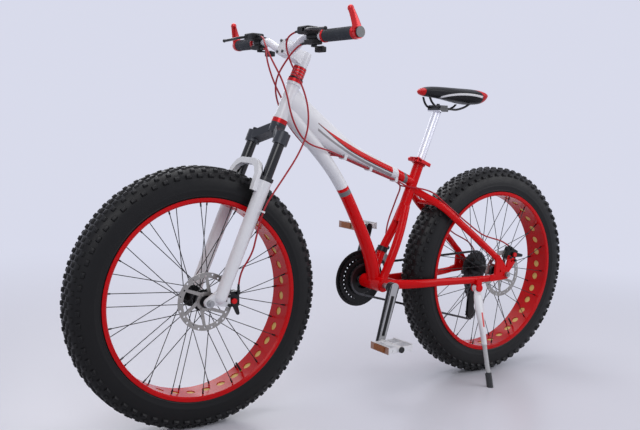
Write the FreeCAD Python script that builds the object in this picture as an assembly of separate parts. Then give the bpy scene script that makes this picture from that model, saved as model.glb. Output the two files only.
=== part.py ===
# Fat tyre mountain bike: oversize tyres on drilled rims, a suspension fork, disc brakes and a side stand.
# The bike faces -X and stands upright on its tyres and its side stand, which is on its left, the -Y side.
# The origin is on the ground, midway between the two axles, in the middle plane.
import FreeCAD
import Part
import math
import os

V = FreeCAD.Vector
ORIGIN = V(0, 0, 0)
ACROSS = V(0, 1, 0)

# Clearances
RUNNING_GAP = 0.05
WELD_GAP = 0.1
SEAT_GAP = 0.3

# Wheels
WHEELBASE = 1103.0
TYRE_RADIUS = 361.0
TYRE_HALF_WIDTH = 49.5
TYRE_WALL = 3.0
KNOB_HEIGHT = 5.0
CROWN_HALF_WIDTH = 26.0
TREAD_SECTORS = 60
RIM_EDGE_RADIUS = 279.0
RIM_FLOOR_RADIUS = 266.0
RIM_HALF_WIDTH = 48.0
RIM_WALL = 2.5
RIM_HOLES = 36
RIM_HOLE_RADIUS = 12.0
FRONT_HOLE_PHASE = -3.7
REAR_HOLE_PHASE = 0.6
STRIP_HALF_WIDTH = 20.0
STRIP_THICKNESS = 1.5
VALVE_RADIUS = 3.0
VALVE_LENGTH = 34.0
VALVE_ANGLE = -55.0
SPOKE_RADIUS = 1.15
SPOKE_RIM_OFFSET = 28.0
SPOKE_LEAD = 60.0
NIPPLE_RADIUS = 2.2
NIPPLE_LENGTH = 12.0
FLANGE_RADIUS = 30.0
FLANGE_HALF_THICKNESS = 1.5
SPOKE_CIRCLE = 26.0
HUB_RADIUS = 15.0
AXLE_RADIUS = 5.0
AXLE_NUT_RADIUS = 9.5
AXLE_NUT_WIDTH = 9.0
AXLE_END = 4.0
FRONT_FLANGE = 34.0
REAR_LEFT_FLANGE = 58.0
REAR_RIGHT_FLANGE = 44.0
FRONT_DROPOUT_SPAN = 135.0
REAR_DROPOUT_SPAN = 190.0
FORK_DROPOUT_THICKNESS = 11.0
FRAME_DROPOUT_THICKNESS = 8.0

# Disc brakes
ROTOR_RADIUS = 80.0
ROTOR_BAND = 15.0
ROTOR_THICKNESS = 2.0
ROTOR_BORE = 17.0
ROTOR_CARRIER = 26.0
ROTOR_ARMS = 6
ROTOR_SLOTS = 24
ROTOR_SLOT_RADIUS = 2.8
FRONT_ROTOR_Y = -52.0
REAR_ROTOR_Y = -80.0
CALIPER_SLOT = 5.0
CALIPER_OUTER_WIDTH = 12.0
CALIPER_INNER_WIDTH = 8.0
CALIPER_NEAR = 52.0
CALIPER_FAR = 94.0
CALIPER_HALF_HEIGHT = 21.0
CALIPER_PIVOT = 75.0
CALIPER_ARM_LENGTH = 36.0
FRONT_CALIPER_ANGLE = 2.0
REAR_CALIPER_ANGLE = 64.0

# Steering and fork, along and across the steering axis
HEAD_ANGLE = 67.6
AXLE_TO_CUP = 543.2
FORK_RAKE = 42.7
STEERER_RADIUS = 14.3
STEERER_WALL = 2.0
HEAD_TUBE_RADIUS = 18.5
HEAD_TUBE_END_RADIUS = 21.0
HEAD_TUBE_BORE = 16.5
HEAD_TUBE_LENGTH = 112.0
CUP_HEIGHT = 12.0
CUP_RADIUS = 22.0
SPACER_COUNT = 4
SPACER_HEIGHT = 8.9
SPACER_RADIUS = 19.5
STEM_HEIGHT = 40.0
STEM_REACH = 59.7
STEM_RISE = 7.2
STEM_RADIUS = 19.0
TOP_CAP_HEIGHT = 5.0
STANCHION_RADIUS = 15.0
STANCHION_WALL = 2.0
STANCHION_Y = 77.0
STANCHION_FORWARD = 18.0
STANCHION_LENGTH = 286.0
CROWN_TOP = -7.0
CROWN_DEPTH = 29.0
CROWN_LEG_TOP = -41.0
CROWN_LEG_LENGTH = 33.0
CROWN_LEG_RADIUS = 21.0
SLIDER_TOP = -178.0
SLIDER_BOTTOM = -520.0
SLIDER_TOP_RADIUS = 19.5
SLIDER_BOTTOM_RADIUS = 17.0
SLIDER_GAP = 0.3
FORK_TRAVEL = 60.0
SEAL_HEIGHT = 6.0
ARCH_RISE = 48.0
ARCH_THICKNESS = 14.0

# Handlebar and controls
BAR_RADIUS = 11.1
BAR_WALL = 2.2
BAR_CLAMP_RADIUS = 12.7
BAR_CLAMP_HALF = 30.0
BAR_HALF_WIDTH = 320.0
GRIP_RADIUS = 16.5
GRIP_START = 182.0
GRIP_END = 312.0
LOCK_RING_RADIUS = 17.5
LOCK_RING_WIDTH = 8.0
BAR_END_CLAMP_WIDTH = 10.0
BAR_END_TIP_RADIUS = 8.6
# Height above the bar, half size fore and aft, half size across and inward lean of the horn
BAR_END_STATIONS = [(4, 14.5, 4.5, 0), (19, 13.5, 4.6, 0), (34, 11.5, 5.6, 1.5), (48, 9.5, 6.8, 4),
                    (60, 8, 8, 7.5)]
POD_START = 120.0
POD_END = 172.0
LEVER_LENGTH = 112.0
LEVER_STANDOFF = 34.0

# Frame
TUBE_WALL = 2.0
SEAT_ANGLE = 68.8
SEAT_TOP_X = 222.7
SEAT_TOP_Z = 742.0
SEAT_TUBE_RADIUS = 17.0
SEAT_TUBE_LENGTH = 211.0
SEAT_LEG_RADIUS = 13.5
SHELL_X = 57.0
SHELL_Z = 354.0
SHELL_RADIUS = 22.0
SHELL_HALF_WIDTH = 50.0
SHELL_BORE = 17.2
BRIDGE_RADIUS = 7.0

# Seat
POST_RADIUS = 13.6
POST_EXPOSED = 176.0
POST_INSERTED = 150.0
RAIL_RADIUS = 3.5
RAIL_HALF_SPACING = 22.0
CLAMP_RING_RADIUS = 21.5
CLAMP_RING_HEIGHT = 15.0

# Drivetrain
CHAIN_PITCH = 12.7
CHAIN_LINKS = 118
CHAIN_Y = 57.5
ROLLER_RADIUS = 3.9
ROLLER_WIDTH = 2.6
LINK_PLATE = 0.9
LINK_HALF_HEIGHT = 4.2
PIN_RADIUS = 1.6
PIN_GAP = 0.4
COG_TEETH = (28, 24, 22, 20, 18, 16, 14)
COG_STEP = 4.6
COG_THICKNESS = 1.9
RING_TEETH = (24, 34, 42)
RING_STEP = 8.0
GUARD_RADIUS = 92.0
PULLEY_TEETH = 11
PULLEY_SPACING = 77.6
GUIDE_DROP = 91.0
GUIDE_FORWARD = 3.5
SPINDLE_RADIUS = 8.45
SPINDLE_END = 98.0
CRANK_LENGTH = 170.0
CRANK_ANGLE = 14.4
CRANK_INNER_Y = 92.0
CRANK_THICKNESS = 14.0
PEDAL_WIDTH = 95.0
PEDAL_HALF_LENGTH = 46.0
PEDAL_GAP = 2.0
FRONT_CLAMP_SHARE = 0.585
CHANGER_ROD_RADIUS = 3.0
CHANGER_ROD_START = 40.0
CHANGER_ROD_END = 84.0
CHANGER_INNER = 95.0
CHANGER_OUTER = 118.0

# Side stand
STAND_X = 428.0
STAND_Y = -88.0
STAND_Z = 321.0
STAND_FOOT_Y = -180.0
STAND_TILT = 8.0
STAND_PIN_RADIUS = 4.0

# Cables
CABLE_RADIUS = 2.5
CABLE_PITCH = 9.0
CABLE_CLEARANCE = 1.0
CABLE_SEAT = 0.8


# Places worked out from the sizes above
def xz(angle):
    """Direction in the middle plane, measured from +X towards +Z."""
    return V(math.cos(math.radians(angle)), 0, math.sin(math.radians(angle)))


FRONT_AXLE = V(-WHEELBASE / 2, 0, TYRE_RADIUS)
REAR_AXLE = V(WHEELBASE / 2, 0, TYRE_RADIUS)
HEAD_LEAN = 90.0 - HEAD_ANGLE
HEAD_UP = xz(90.0 - HEAD_LEAN)
HEAD_BACK = xz(-HEAD_LEAN)
HEAD_BASE = FRONT_AXLE + HEAD_UP * AXLE_TO_CUP + HEAD_BACK * FORK_RAKE
CUP_HALF = CUP_HEIGHT / 2
HEAD_TUBE_TOP = CUP_HALF + HEAD_TUBE_LENGTH
SPACER_BASE = HEAD_TUBE_TOP + CUP_HEIGHT + SEAT_GAP
STEM_BASE = SPACER_BASE + SPACER_COUNT * SPACER_HEIGHT
STEM_TOP = STEM_BASE + STEM_HEIGHT
BAR_UP = STEM_BASE + STEM_HEIGHT / 2 + STEM_RISE
SHELL = V(SHELL_X, 0, SHELL_Z)
SEAT_TOP = V(SEAT_TOP_X, 0, SEAT_TOP_Z)
SEAT_UP = xz(SEAT_ANGLE)
BAR_CENTRE = HEAD_BASE + HEAD_UP * BAR_UP - HEAD_BACK * STEM_REACH
GUIDE_PULLEY = REAR_AXLE + V(-GUIDE_FORWARD, 0, -GUIDE_DROP)
HANGER = REAR_AXLE + V(9, 0, -27)
DERAILLEUR_CABLE = HANGER + V(26, REAR_DROPOUT_SPAN / 2 + FRAME_DROPOUT_THICKNESS + 8, 6)
CHANGER_ROD = SHELL + V(77, 0, 103)
CHANGER_CABLE = CHANGER_ROD + V(-4, CHANGER_ROD_START + 4, 18)
FORK_CLIP_RUN = (V(-400, -101, 625), V(-417, -102, 583))
STAND_PIVOT = V(STAND_X, STAND_Y, STAND_Z)


# Shape helpers
def rod(radius, start, end):
    return Part.makeCylinder(radius, (end - start).Length, start, end - start)


def ring(outer, inner, start, end):
    return rod(outer, start, end).cut(rod(inner, start, end))


def block(x0, x1, y0, y1, z0, z1):
    return Part.makeBox(x1 - x0, y1 - y0, z1 - z0, V(x0, y0, z0))


def along_y(radius, y0, y1, centre=ORIGIN):
    return rod(radius, centre + V(0, y0, 0), centre + V(0, y1, 0))


def plate(outline, y0, y1):
    """Flat plate with an outline of (x, z) corners, thick along Y."""
    corners = [V(x, y0, z) for x, z in outline]
    return Part.Face(Part.makePolygon(corners + corners[:1])).extrude(V(0, y1 - y0, 0))


def strap(start, start_radius, end, end_radius, y0, y1):
    """Plate with two round ends at points of the middle plane, its edges tangent to both."""
    run = end - start
    heading = math.degrees(math.atan2(run.z, run.x))
    spread = math.degrees(math.acos((start_radius - end_radius) / run.Length))
    lift = V(0, y0, 0)
    a = [start + xz(heading + turn) * start_radius + lift for turn in (spread, 180, -spread)]
    b = [end + xz(heading + turn) * end_radius + lift for turn in (-spread, 0, spread)]
    edges = [Part.Arc(*a).toShape(), Part.LineSegment(a[2], b[0]).toShape()]
    edges += [Part.Arc(*b).toShape(), Part.LineSegment(b[2], a[0]).toShape()]
    return Part.Face(Part.Wire(edges)).extrude(V(0, y1 - y0, 0))


def spun(section):
    """Solid of revolution about the Y axis from a closed section of (radius, y) corners."""
    corners = [V(radius, y, 0) for radius, y in section]
    return Part.Face(Part.makePolygon(corners + corners[:1])).revolve(ORIGIN, ACROSS, 360)


def turned(shape, angle, centre=ORIGIN):
    """Copy turned in the middle plane, from +X towards +Z."""
    copy = shape.copy()
    copy.rotate(centre, -ACROSS, angle)
    return copy


def moved(shape, offset):
    copy = shape.copy()
    copy.translate(offset)
    return copy


def mirrored(shape):
    return shape.mirror(ORIGIN, ACROSS)


def join(pieces):
    return pieces[0].multiFuse(pieces[1:])


def without(shape, tools):
    return shape.cut(Part.makeCompound(tools))


def largest(shape):
    return max(shape.Solids, key=lambda solid: solid.Volume)


def on_head(shape):
    """Places a shape made about the steering axis: X back, Z up, zero at the lower cup."""
    copy = shape.copy()
    lean = FreeCAD.Rotation(ACROSS, HEAD_LEAN)
    copy.Placement = FreeCAD.Placement(HEAD_BASE, lean).multiply(copy.Placement)
    return copy


def on_seat(shape):
    """Places a shape made about the seat tube axis: X back, Z up, zero at the tube's top."""
    copy = shape.copy()
    tilt = FreeCAD.Rotation(ACROSS, 90.0 - SEAT_ANGLE)
    copy.Placement = FreeCAD.Placement(SEAT_TOP, tilt).multiply(copy.Placement)
    return copy


def oval(centre, along, half_height, half_width):
    """Closed oval across a tube that runs in a given direction."""
    rise = along.cross(ACROSS).normalize()
    side = rise.cross(along).normalize()
    corners = []
    for step in range(12):
        angle = math.tau * step / 12
        up, out = half_height * math.cos(angle), half_width * math.sin(angle)
        corners.append(centre + rise * up + side * out)
    curve = Part.BSplineCurve()
    curve.interpolate(Points=corners, PeriodicFlag=True)
    return Part.Wire(curve.toShape())


def swept_path(points):
    """Straight runs joined by tangent arcs, each as large as its two runs allow."""
    edges = []
    radii = []
    place = points[0]
    for before, corner, after in zip(points, points[1:], points[2:]):
        into = (corner - before).normalize()
        out = (after - corner).normalize()
        turn = into.getAngle(out)
        reach = 0.45 * min((corner - before).Length, (after - corner).Length)
        radius = reach / math.tan(turn / 2)
        start = corner - into * reach
        end = corner + out * reach
        inward = (out - into).normalize()
        centre = corner + inward * (radius / math.cos(turn / 2))
        edges.append(Part.LineSegment(place, start).toShape())
        edges.append(Part.Arc(start, centre - inward * radius, end).toShape())
        radii.append(radius)
        place = end
    edges.append(Part.LineSegment(place, points[-1]).toShape())
    return Part.Wire(edges), radii


def swept(points, radius):
    path = swept_path(points)[0]
    circle = Part.Wire(Part.Circle(points[0], points[1] - points[0], radius).toShape())
    return path.makePipeShell([circle], True, False)


def cable(name, points):
    """Outer cable along its route, with the check that it is a whole tube."""
    path, radii = swept_path(points)
    solid = swept(points, CABLE_RADIUS)
    share = solid.Volume / (math.pi * CABLE_RADIUS ** 2 * path.Length)
    print(name, "length", round(path.Length), "smallest bend", round(min(radii)), "share", round(share, 3))
    return solid


def save(node, *shapes):
    """Writes one node with all its solids."""
    solids = [solid for shape in shapes for solid in shape.Solids]
    whole = solids[0] if len(solids) == 1 else Part.makeCompound(solids)
    whole.exportStep("parts/" + node + ".step")
    sound = all(solid.isValid() and solid.Volume > 0 for solid in solids)
    state = "sound" if sound else "NOT SOUND"
    print(node, len(solids), "solids", round(whole.Volume / 1000, 1), "cm3", state)


# Wheels
def tyre():
    """Open casing with staggered rows of tread blocks, built one sector at a time."""
    bead_y = RIM_HALF_WIDTH - RIM_WALL - SEAT_GAP
    bead_radius = RIM_FLOOR_RADIUS + RIM_WALL + 3.5
    crown = TYRE_RADIUS - KNOB_HEIGHT
    lip = RIM_EDGE_RADIUS + 1.0
    belly = lip + 0.35 * (crown - lip)
    shoulder = lip + 0.66 * (crown - lip)
    shoulder_y = TYRE_HALF_WIDTH - 3.5
    hip_y = 0.5 * (shoulder_y + CROWN_HALF_WIDTH)
    hip = crown - 0.33 * (crown - shoulder)

    def casing_side(inset):
        """Points of one half of the casing, from the bead to the crown."""
        return [(bead_y - inset, bead_radius), (bead_y - inset, lip), (TYRE_HALF_WIDTH - inset, belly),
                (shoulder_y - inset, shoulder - 0.5 * inset), (hip_y - 0.6 * inset, hip - 0.8 * inset),
                (CROWN_HALF_WIDTH, crown - inset)]

    def half_edges(side, sign):
        points = [V(radius, sign * y, 0) for y, radius in side]
        return [Part.LineSegment(points[0], points[1]).toShape(), Part.Arc(*points[1:4]).toShape(),
                Part.Arc(*points[3:6]).toShape()]

    outer = casing_side(0)
    inner = casing_side(TYRE_WALL)
    edges = []
    for sign in (1, -1):
        edges += half_edges(outer, sign) + half_edges(inner, sign)
        edges.append(Part.LineSegment(V(outer[0][1], sign * outer[0][0], 0),
                                      V(inner[0][1], sign * inner[0][0], 0)).toShape())
    for side in (outer, inner):
        edges.append(Part.LineSegment(V(side[5][1], side[5][0], 0), V(side[5][1], -side[5][0], 0)).toShape())
    section = Part.Face(Part.Wire(Part.__sortEdges__(edges)))
    pitch = 360.0 / TREAD_SECTORS
    sector = section.revolve(ORIGIN, -ACROSS, pitch)

    root = 1.5
    middle_y = CROWN_HALF_WIDTH + 3.0
    outer_y = hip_y + 4.0
    centre_block = [(crown - root, 3), (TYRE_RADIUS, 3), (TYRE_RADIUS, CROWN_HALF_WIDTH - 0.5),
                    (crown - root, CROWN_HALF_WIDTH - 0.5)]
    middle_block = [(crown - 4, middle_y), (TYRE_RADIUS - 1, middle_y), (hip + KNOB_HEIGHT, hip_y),
                    (hip - 1.5, hip_y)]
    shoulder_block = [(hip - 4.5, outer_y), (hip + KNOB_HEIGHT - 1, outer_y + 1.5),
                      (shoulder + 12, shoulder_y + 1), (shoulder, shoulder_y + KNOB_HEIGHT - 1),
                      (shoulder, shoulder_y - 0.8)]
    early, late = 0.05 * pitch, 0.53 * pitch
    width = 0.42 * pitch
    blocks = []
    rows = [(centre_block, 1, early), (centre_block, -1, late), (middle_block, 1, late),
            (middle_block, -1, early), (shoulder_block, 1, early), (shoulder_block, -1, late)]
    for outline, sign, start in rows:
        corners = [V(radius, sign * y, 0) for radius, y in outline]
        face = Part.Face(Part.makePolygon(corners + corners[:1]))
        blocks.append(turned(face.revolve(ORIGIN, -ACROSS, width), start))
    sector = sector.multiFuse(blocks)

    skin = []
    for face in sector.Faces:
        middle = face.CenterOfMass
        angle = math.degrees(math.atan2(middle.z, middle.x))
        flat_end = face.Surface.TypeId == "Part::GeomPlane" and min(abs(angle), abs(angle - pitch)) < 1e-4
        if not flat_end:
            skin.append(face)
    faces = [turned(face, pitch * step) for step in range(TREAD_SECTORS) for face in skin]
    shell = Part.makeCompound(faces)
    shell.sewShape()
    solid = Part.Solid(Part.Shell(shell.Faces))
    if solid.Volume < 0:
        solid.reverse()
    return solid


def rim(phase):
    wall_y = RIM_HALF_WIDTH - RIM_WALL
    floor = RIM_FLOOR_RADIUS + RIM_WALL
    corner = 4.0
    outside = [(RIM_EDGE_RADIUS, RIM_HALF_WIDTH), (RIM_FLOOR_RADIUS + corner, RIM_HALF_WIDTH),
               (RIM_FLOOR_RADIUS, RIM_HALF_WIDTH - corner)]
    inside = [(floor, wall_y - RIM_WALL), (floor + RIM_WALL, wall_y), (RIM_EDGE_RADIUS, wall_y)]
    section = outside + [(radius, -y) for radius, y in reversed(outside)]
    section += [(radius, -y) for radius, y in reversed(inside)] + inside
    holes = []
    for step in range(RIM_HOLES):
        direction = xz(phase + step * 360.0 / RIM_HOLES)
        holes.append(rod(RIM_HOLE_RADIUS, direction * (RIM_FLOOR_RADIUS - 6), direction * (floor + 6)))
    valve = xz(phase + VALVE_ANGLE)
    holes.append(rod(VALVE_RADIUS + 1, valve * (RIM_FLOOR_RADIUS - 6), valve * (floor + 6)))
    return without(spun(section), holes)


def rim_strip(phase):
    """Coloured band that shows through the rim holes, with the tube's valve."""
    inner = RIM_FLOOR_RADIUS + RIM_WALL + SEAT_GAP
    outer = inner + STRIP_THICKNESS
    band = spun([(inner, -STRIP_HALF_WIDTH), (outer, -STRIP_HALF_WIDTH), (outer, STRIP_HALF_WIDTH),
                 (inner, STRIP_HALF_WIDTH)])
    valve = xz(phase + VALVE_ANGLE)
    stem_end = outer - VALVE_LENGTH
    return join([band, rod(VALVE_RADIUS, valve * stem_end, valve * (outer - STRIP_THICKNESS / 2))])


def spokes(phase, left_flange, right_flange):
    """Crossed spokes, each with its head, its bent end and its nipple."""
    half_pitch = 180.0 / RIM_HOLES
    made = []
    for index in range(RIM_HOLES):
        side = 1 if index % 2 == 0 else -1
        lead = 1 if (index // 2) % 2 == 0 else -1
        flange = right_flange if side > 0 else -left_flange
        slant = (abs(flange) - SPOKE_RIM_OFFSET) / RIM_FLOOR_RADIUS
        stand_off = FLANGE_HALF_THICKNESS + SPOKE_RADIUS + 0.2 + 9 * slant
        rim_angle = phase + half_pitch + index * 2 * half_pitch
        rim_end = xz(rim_angle) * (RIM_FLOOR_RADIUS - 0.5) + ACROSS * (side * SPOKE_RIM_OFFSET + lead * 0.8)
        hub_end = xz(rim_angle - lead * SPOKE_LEAD) * SPOKE_CIRCLE + ACROSS * (flange + lead * stand_off)
        head = hub_end - ACROSS * (lead * (stand_off + FLANGE_HALF_THICKNESS + 0.2))
        heading = (hub_end - rim_end).normalize()
        made.append(join([
            rod(SPOKE_RADIUS, hub_end, rim_end),
            rod(NIPPLE_RADIUS, rim_end, rim_end + heading * NIPPLE_LENGTH),
            Part.makeSphere(SPOKE_RADIUS, hub_end),
            rod(SPOKE_RADIUS, hub_end, head),
            rod(2 * SPOKE_RADIUS, head, head - ACROSS * lead)]))
    return made


def flange(y, phase, first):
    """Hub flange drilled for the spokes of one side."""
    disc = along_y(FLANGE_RADIUS, y - FLANGE_HALF_THICKNESS, y + FLANGE_HALF_THICKNESS)
    pitch = 720.0 / RIM_HOLES
    holes = []
    for index in range(RIM_HOLES // 2):
        centre = xz(phase + first + index * pitch) * SPOKE_CIRCLE
        holes.append(along_y(SPOKE_RADIUS + 0.2, y - 5, y + 5, centre))
    return without(disc, holes)


def hub(phase, left_flange, right_flange, rotor_y, left_end, right_end, right_radius):
    """Hub shell with two flanges, a seat for the rotor on its left and a bore for the axle."""
    half_pitch = 180.0 / RIM_HOLES
    rotor_face = rotor_y + ROTOR_THICKNESS / 2 + RUNNING_GAP
    pieces = [
        along_y(HUB_RADIUS, -left_flange, right_flange),
        flange(right_flange, phase, half_pitch),
        flange(-left_flange, phase, 3 * half_pitch),
        along_y(ROTOR_CARRIER, rotor_face, -left_flange - FLANGE_HALF_THICKNESS - 6.0),
        along_y(ROTOR_BORE - RUNNING_GAP, rotor_y - 4, -left_flange),
        along_y(12.0, -left_end, -left_flange),
        along_y(right_radius, right_flange, right_end)]
    return without(join(pieces), [along_y(AXLE_RADIUS + RUNNING_GAP, -200, 200)])


def rotor(y):
    """Brake disc: a drilled band on curved arms, bolted to the hub through its carrier."""
    low, high = y - ROTOR_THICKNESS / 2, y + ROTOR_THICKNESS / 2
    band = along_y(ROTOR_RADIUS, low, high).cut(along_y(ROTOR_RADIUS - ROTOR_BAND, low, high))
    carrier = along_y(ROTOR_CARRIER, low, high)
    pieces = [band, carrier]
    holes = [along_y(ROTOR_BORE, low, high)]
    bolts = []
    for index in range(ROTOR_ARMS):
        angle = index * 360.0 / ROTOR_ARMS
        root = xz(angle) * (ROTOR_CARRIER - 3)
        tip = xz(angle + 28) * (ROTOR_RADIUS - ROTOR_BAND + 3)
        pieces.append(strap(root, 5, tip, 4, low, high))
        bolts.append(along_y(3.2, low - 2.5, low - RUNNING_GAP, xz(angle) * (ROTOR_CARRIER - 4.6)))
    for index in range(ROTOR_SLOTS):
        distance = ROTOR_RADIUS - ROTOR_BAND * (0.36 if index % 2 else 0.64)
        holes.append(along_y(ROTOR_SLOT_RADIUS, low, high, xz(index * 360.0 / ROTOR_SLOTS) * distance))
    return [without(join(pieces), holes)] + bolts


def axle(span, dropout, left_collar, right_collar):
    """Axle with its lock nuts inside the dropouts and its end nuts outside them."""
    half = span / 2
    outside = half + dropout + SEAT_GAP
    pieces = [along_y(AXLE_RADIUS, -outside - AXLE_NUT_WIDTH - AXLE_END, outside + AXLE_NUT_WIDTH + AXLE_END)]
    for sign, collar in ((-1, left_collar), (1, right_collar)):
        pieces.append(along_y(AXLE_NUT_RADIUS, sign * outside, sign * (outside + AXLE_NUT_WIDTH)))
        pieces.append(along_y(AXLE_NUT_RADIUS, sign * collar, sign * (half - RUNNING_GAP)))
    return join(pieces)


def build_wheels():
    front_end = FRONT_DROPOUT_SPAN / 2 - 7
    rear_left_end = REAR_DROPOUT_SPAN / 2 - 7
    rear_right_end = REAR_DROPOUT_SPAN / 2 - 4
    tread = tyre()
    for name, place, phase, left, right, rotor_y, left_end, right_end, right_radius in (
            ("front", FRONT_AXLE, FRONT_HOLE_PHASE, FRONT_FLANGE, FRONT_FLANGE, FRONT_ROTOR_Y, front_end,
             front_end, 12.0),
            ("rear", REAR_AXLE, REAR_HOLE_PHASE, REAR_LEFT_FLANGE, REAR_RIGHT_FLANGE, REAR_ROTOR_Y,
             rear_left_end, rear_right_end, HUB_RADIUS)):
        save(name + "_tyre", moved(tread, place))
        save(name + "_rim", moved(rim(phase), place))
        save(name + "_rim_strip", moved(rim_strip(phase), place))
        save(name + "_spokes", *[moved(spoke, place) for spoke in spokes(phase, left, right)])
        save(name + "_hub", moved(hub(phase, left, right, rotor_y, left_end, right_end, right_radius), place))
        save(name + "_rotor", *[moved(piece, place) for piece in rotor(rotor_y)])
    front_collar = front_end + SEAT_GAP
    front = axle(FRONT_DROPOUT_SPAN, FORK_DROPOUT_THICKNESS, front_collar, front_collar)
    rear = axle(REAR_DROPOUT_SPAN, FRAME_DROPOUT_THICKNESS, rear_left_end + SEAT_GAP,
                rear_right_end + SEAT_GAP)
    save("front_axle", moved(front, FRONT_AXLE))
    save("rear_axle", moved(rear, REAR_AXLE))


# Disc brake calipers, made with the axle at the origin, the rotor in the plane y = 0 and the caliper along +X
CALIPER_OUTER_Y = -CALIPER_SLOT / 2 - CALIPER_OUTER_WIDTH
CALIPER_BOLT_X = CALIPER_NEAR + 6.0
CALIPER_BOLT_Z = 13.0
CALIPER_STOP = V(CALIPER_PIVOT + 14, CALIPER_OUTER_Y - 5, CALIPER_HALF_HEIGHT + 4)


def caliper():
    """Body that bridges the rotor's edge, with its cable stop and its two bolts."""
    inner_y = CALIPER_SLOT / 2 + CALIPER_INNER_WIDTH
    body = block(CALIPER_NEAR, CALIPER_FAR, CALIPER_OUTER_Y, inner_y, -CALIPER_HALF_HEIGHT,
                 CALIPER_HALF_HEIGHT)
    body = body.makeFillet(4.0, [edge for edge in body.Edges if abs(edge.tangentAt(0).y) > 0.9])
    slot = block(CALIPER_NEAR - 1, ROTOR_RADIUS + 3, -CALIPER_SLOT / 2, CALIPER_SLOT / 2, -30, 30)
    stop = rod(5.0, CALIPER_STOP - V(0, 0, 12), CALIPER_STOP)
    lug = block(CALIPER_STOP.x - 5, CALIPER_FAR - 2, CALIPER_STOP.y - 4, CALIPER_OUTER_Y + 4,
                CALIPER_STOP.z - 12, CALIPER_STOP.z - 4)
    bolts = []
    tools = [slot]
    for sign in (-1, 1):
        head = V(CALIPER_BOLT_X, CALIPER_OUTER_Y - FRAME_DROPOUT_THICKNESS, sign * CALIPER_BOLT_Z)
        bolts.append(join([along_y(4.5, -5, -SEAT_GAP, head), along_y(2.9, -SEAT_GAP - 1, 16, head)]))
        tools.append(along_y(3.0, -1, 17, head))
    return [without(join([body, stop, lug]), tools)] + bolts


def caliper_arm():
    """Arm that the cable pulls, with the round adjuster on its pivot."""
    face = CALIPER_OUTER_Y - SEAT_GAP
    pivot = V(CALIPER_PIVOT, 0, -4)
    tip = pivot + V(12, 0, -CALIPER_ARM_LENGTH)
    arm = strap(pivot, 9, tip, 5, face - 4, face)
    return [arm, along_y(7.5, face - 9, face - 4 - RUNNING_GAP, pivot)]


def place_caliper(shape, wheel_axle, rotor_y, angle):
    return moved(turned(shape, angle), wheel_axle + V(0, rotor_y, 0))


def caliper_point(point, wheel_axle, rotor_y, angle):
    return wheel_axle + V(0, rotor_y + point.y, 0) + xz(angle) * point.x + xz(angle + 90) * point.z


def build_brakes():
    for name, wheel_axle, rotor_y, angle in (("front", FRONT_AXLE, FRONT_ROTOR_Y, FRONT_CALIPER_ANGLE),
                                             ("rear", REAR_AXLE, REAR_ROTOR_Y, REAR_CALIPER_ANGLE)):
        for node, pieces in ((name + "_caliper", caliper()), (name + "_caliper_arm", caliper_arm())):
            save(node, *[place_caliper(piece, wheel_axle, rotor_y, angle) for piece in pieces])


def caliper_tab(thickness, root):
    """Tab that carries a caliper, from a root point to both of its bolts."""
    low = CALIPER_OUTER_Y - thickness
    high = CALIPER_OUTER_Y - RUNNING_GAP
    ends = [V(CALIPER_BOLT_X, 0, sign * CALIPER_BOLT_Z) for sign in (-1, 1)]
    arms = [strap(root, 10, end, 6, low, high) for end in ends]
    cross_strap = strap(ends[0], 4.5, ends[1], 4.6, low, high)
    return without(join(arms + [cross_strap]), [along_y(3.0, low - 1, high + 1, end) for end in ends])


# Fork and steering, made about the steering axis
def fork_crown():
    crown_base = CROWN_TOP - CROWN_DEPTH
    leg_base = CROWN_LEG_TOP - CROWN_LEG_LENGTH
    arms = []
    for sign in (-1, 1):
        near = [(-15, crown_base), (15, crown_base), (15, CROWN_TOP), (-15, CROWN_TOP)]
        back = 15 - STANCHION_FORWARD
        far = [(-back - 2 * STANCHION_FORWARD, leg_base + 4), (back, leg_base + 4), (back, CROWN_LEG_TOP),
               (-back - 2 * STANCHION_FORWARD, CROWN_LEG_TOP)]
        wires = []
        for y, corners in ((sign * 6, near), (sign * (STANCHION_Y - 12), far)):
            points = [V(x, y, z) for x, z in corners]
            wires.append(Part.makePolygon(points + points[:1]))
        arms.append(Part.makeLoft(wires, True, True))
        foot = V(-STANCHION_FORWARD, sign * STANCHION_Y, 0)
        arms.append(rod(CROWN_LEG_RADIUS, foot + V(0, 0, leg_base), foot + V(0, 0, CROWN_LEG_TOP)))
    cap = V(-STANCHION_FORWARD, -STANCHION_Y, CROWN_LEG_TOP)
    pieces = [rod(CUP_RADIUS, V(0, 0, crown_base), V(0, 0, CROWN_TOP)),
              rod(13, cap - V(0, 0, 1), cap + V(0, 0, 5)),
              rod(STEERER_RADIUS, V(0, 0, crown_base), V(0, 0, STEM_TOP - 2))] + arms
    tools = [rod(STEERER_RADIUS - STEERER_WALL, V(0, 0, crown_base + 8), V(0, 0, STEM_TOP))]
    for sign in (-1, 1):
        foot = V(-STANCHION_FORWARD, sign * STANCHION_Y, 0)
        tools.append(rod(STANCHION_RADIUS + RUNNING_GAP, foot + V(0, 0, leg_base - 20),
                         foot + V(0, 0, CROWN_LEG_TOP - 3)))
    return without(join(pieces), tools)


def stanchions():
    top = CROWN_LEG_TOP - 3 - RUNNING_GAP
    made = []
    for sign in (-1, 1):
        foot = V(-STANCHION_FORWARD, sign * STANCHION_Y, 0)
        made.append(ring(STANCHION_RADIUS, STANCHION_RADIUS - STANCHION_WALL,
                         foot + V(0, 0, top - STANCHION_LENGTH), foot + V(0, 0, top)))
    return made


def lockout_dial():
    """Turning lever on top of the right fork leg."""
    foot = V(-STANCHION_FORWARD, STANCHION_Y, CROWN_LEG_TOP + SEAT_GAP)
    knob = rod(11, foot, foot + V(0, 0, 9))
    tab = block(foot.x + 6, foot.x + 27, STANCHION_Y - 5, STANCHION_Y + 5, foot.z + 3, foot.z + 8)
    return join([knob, tab])


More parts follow.
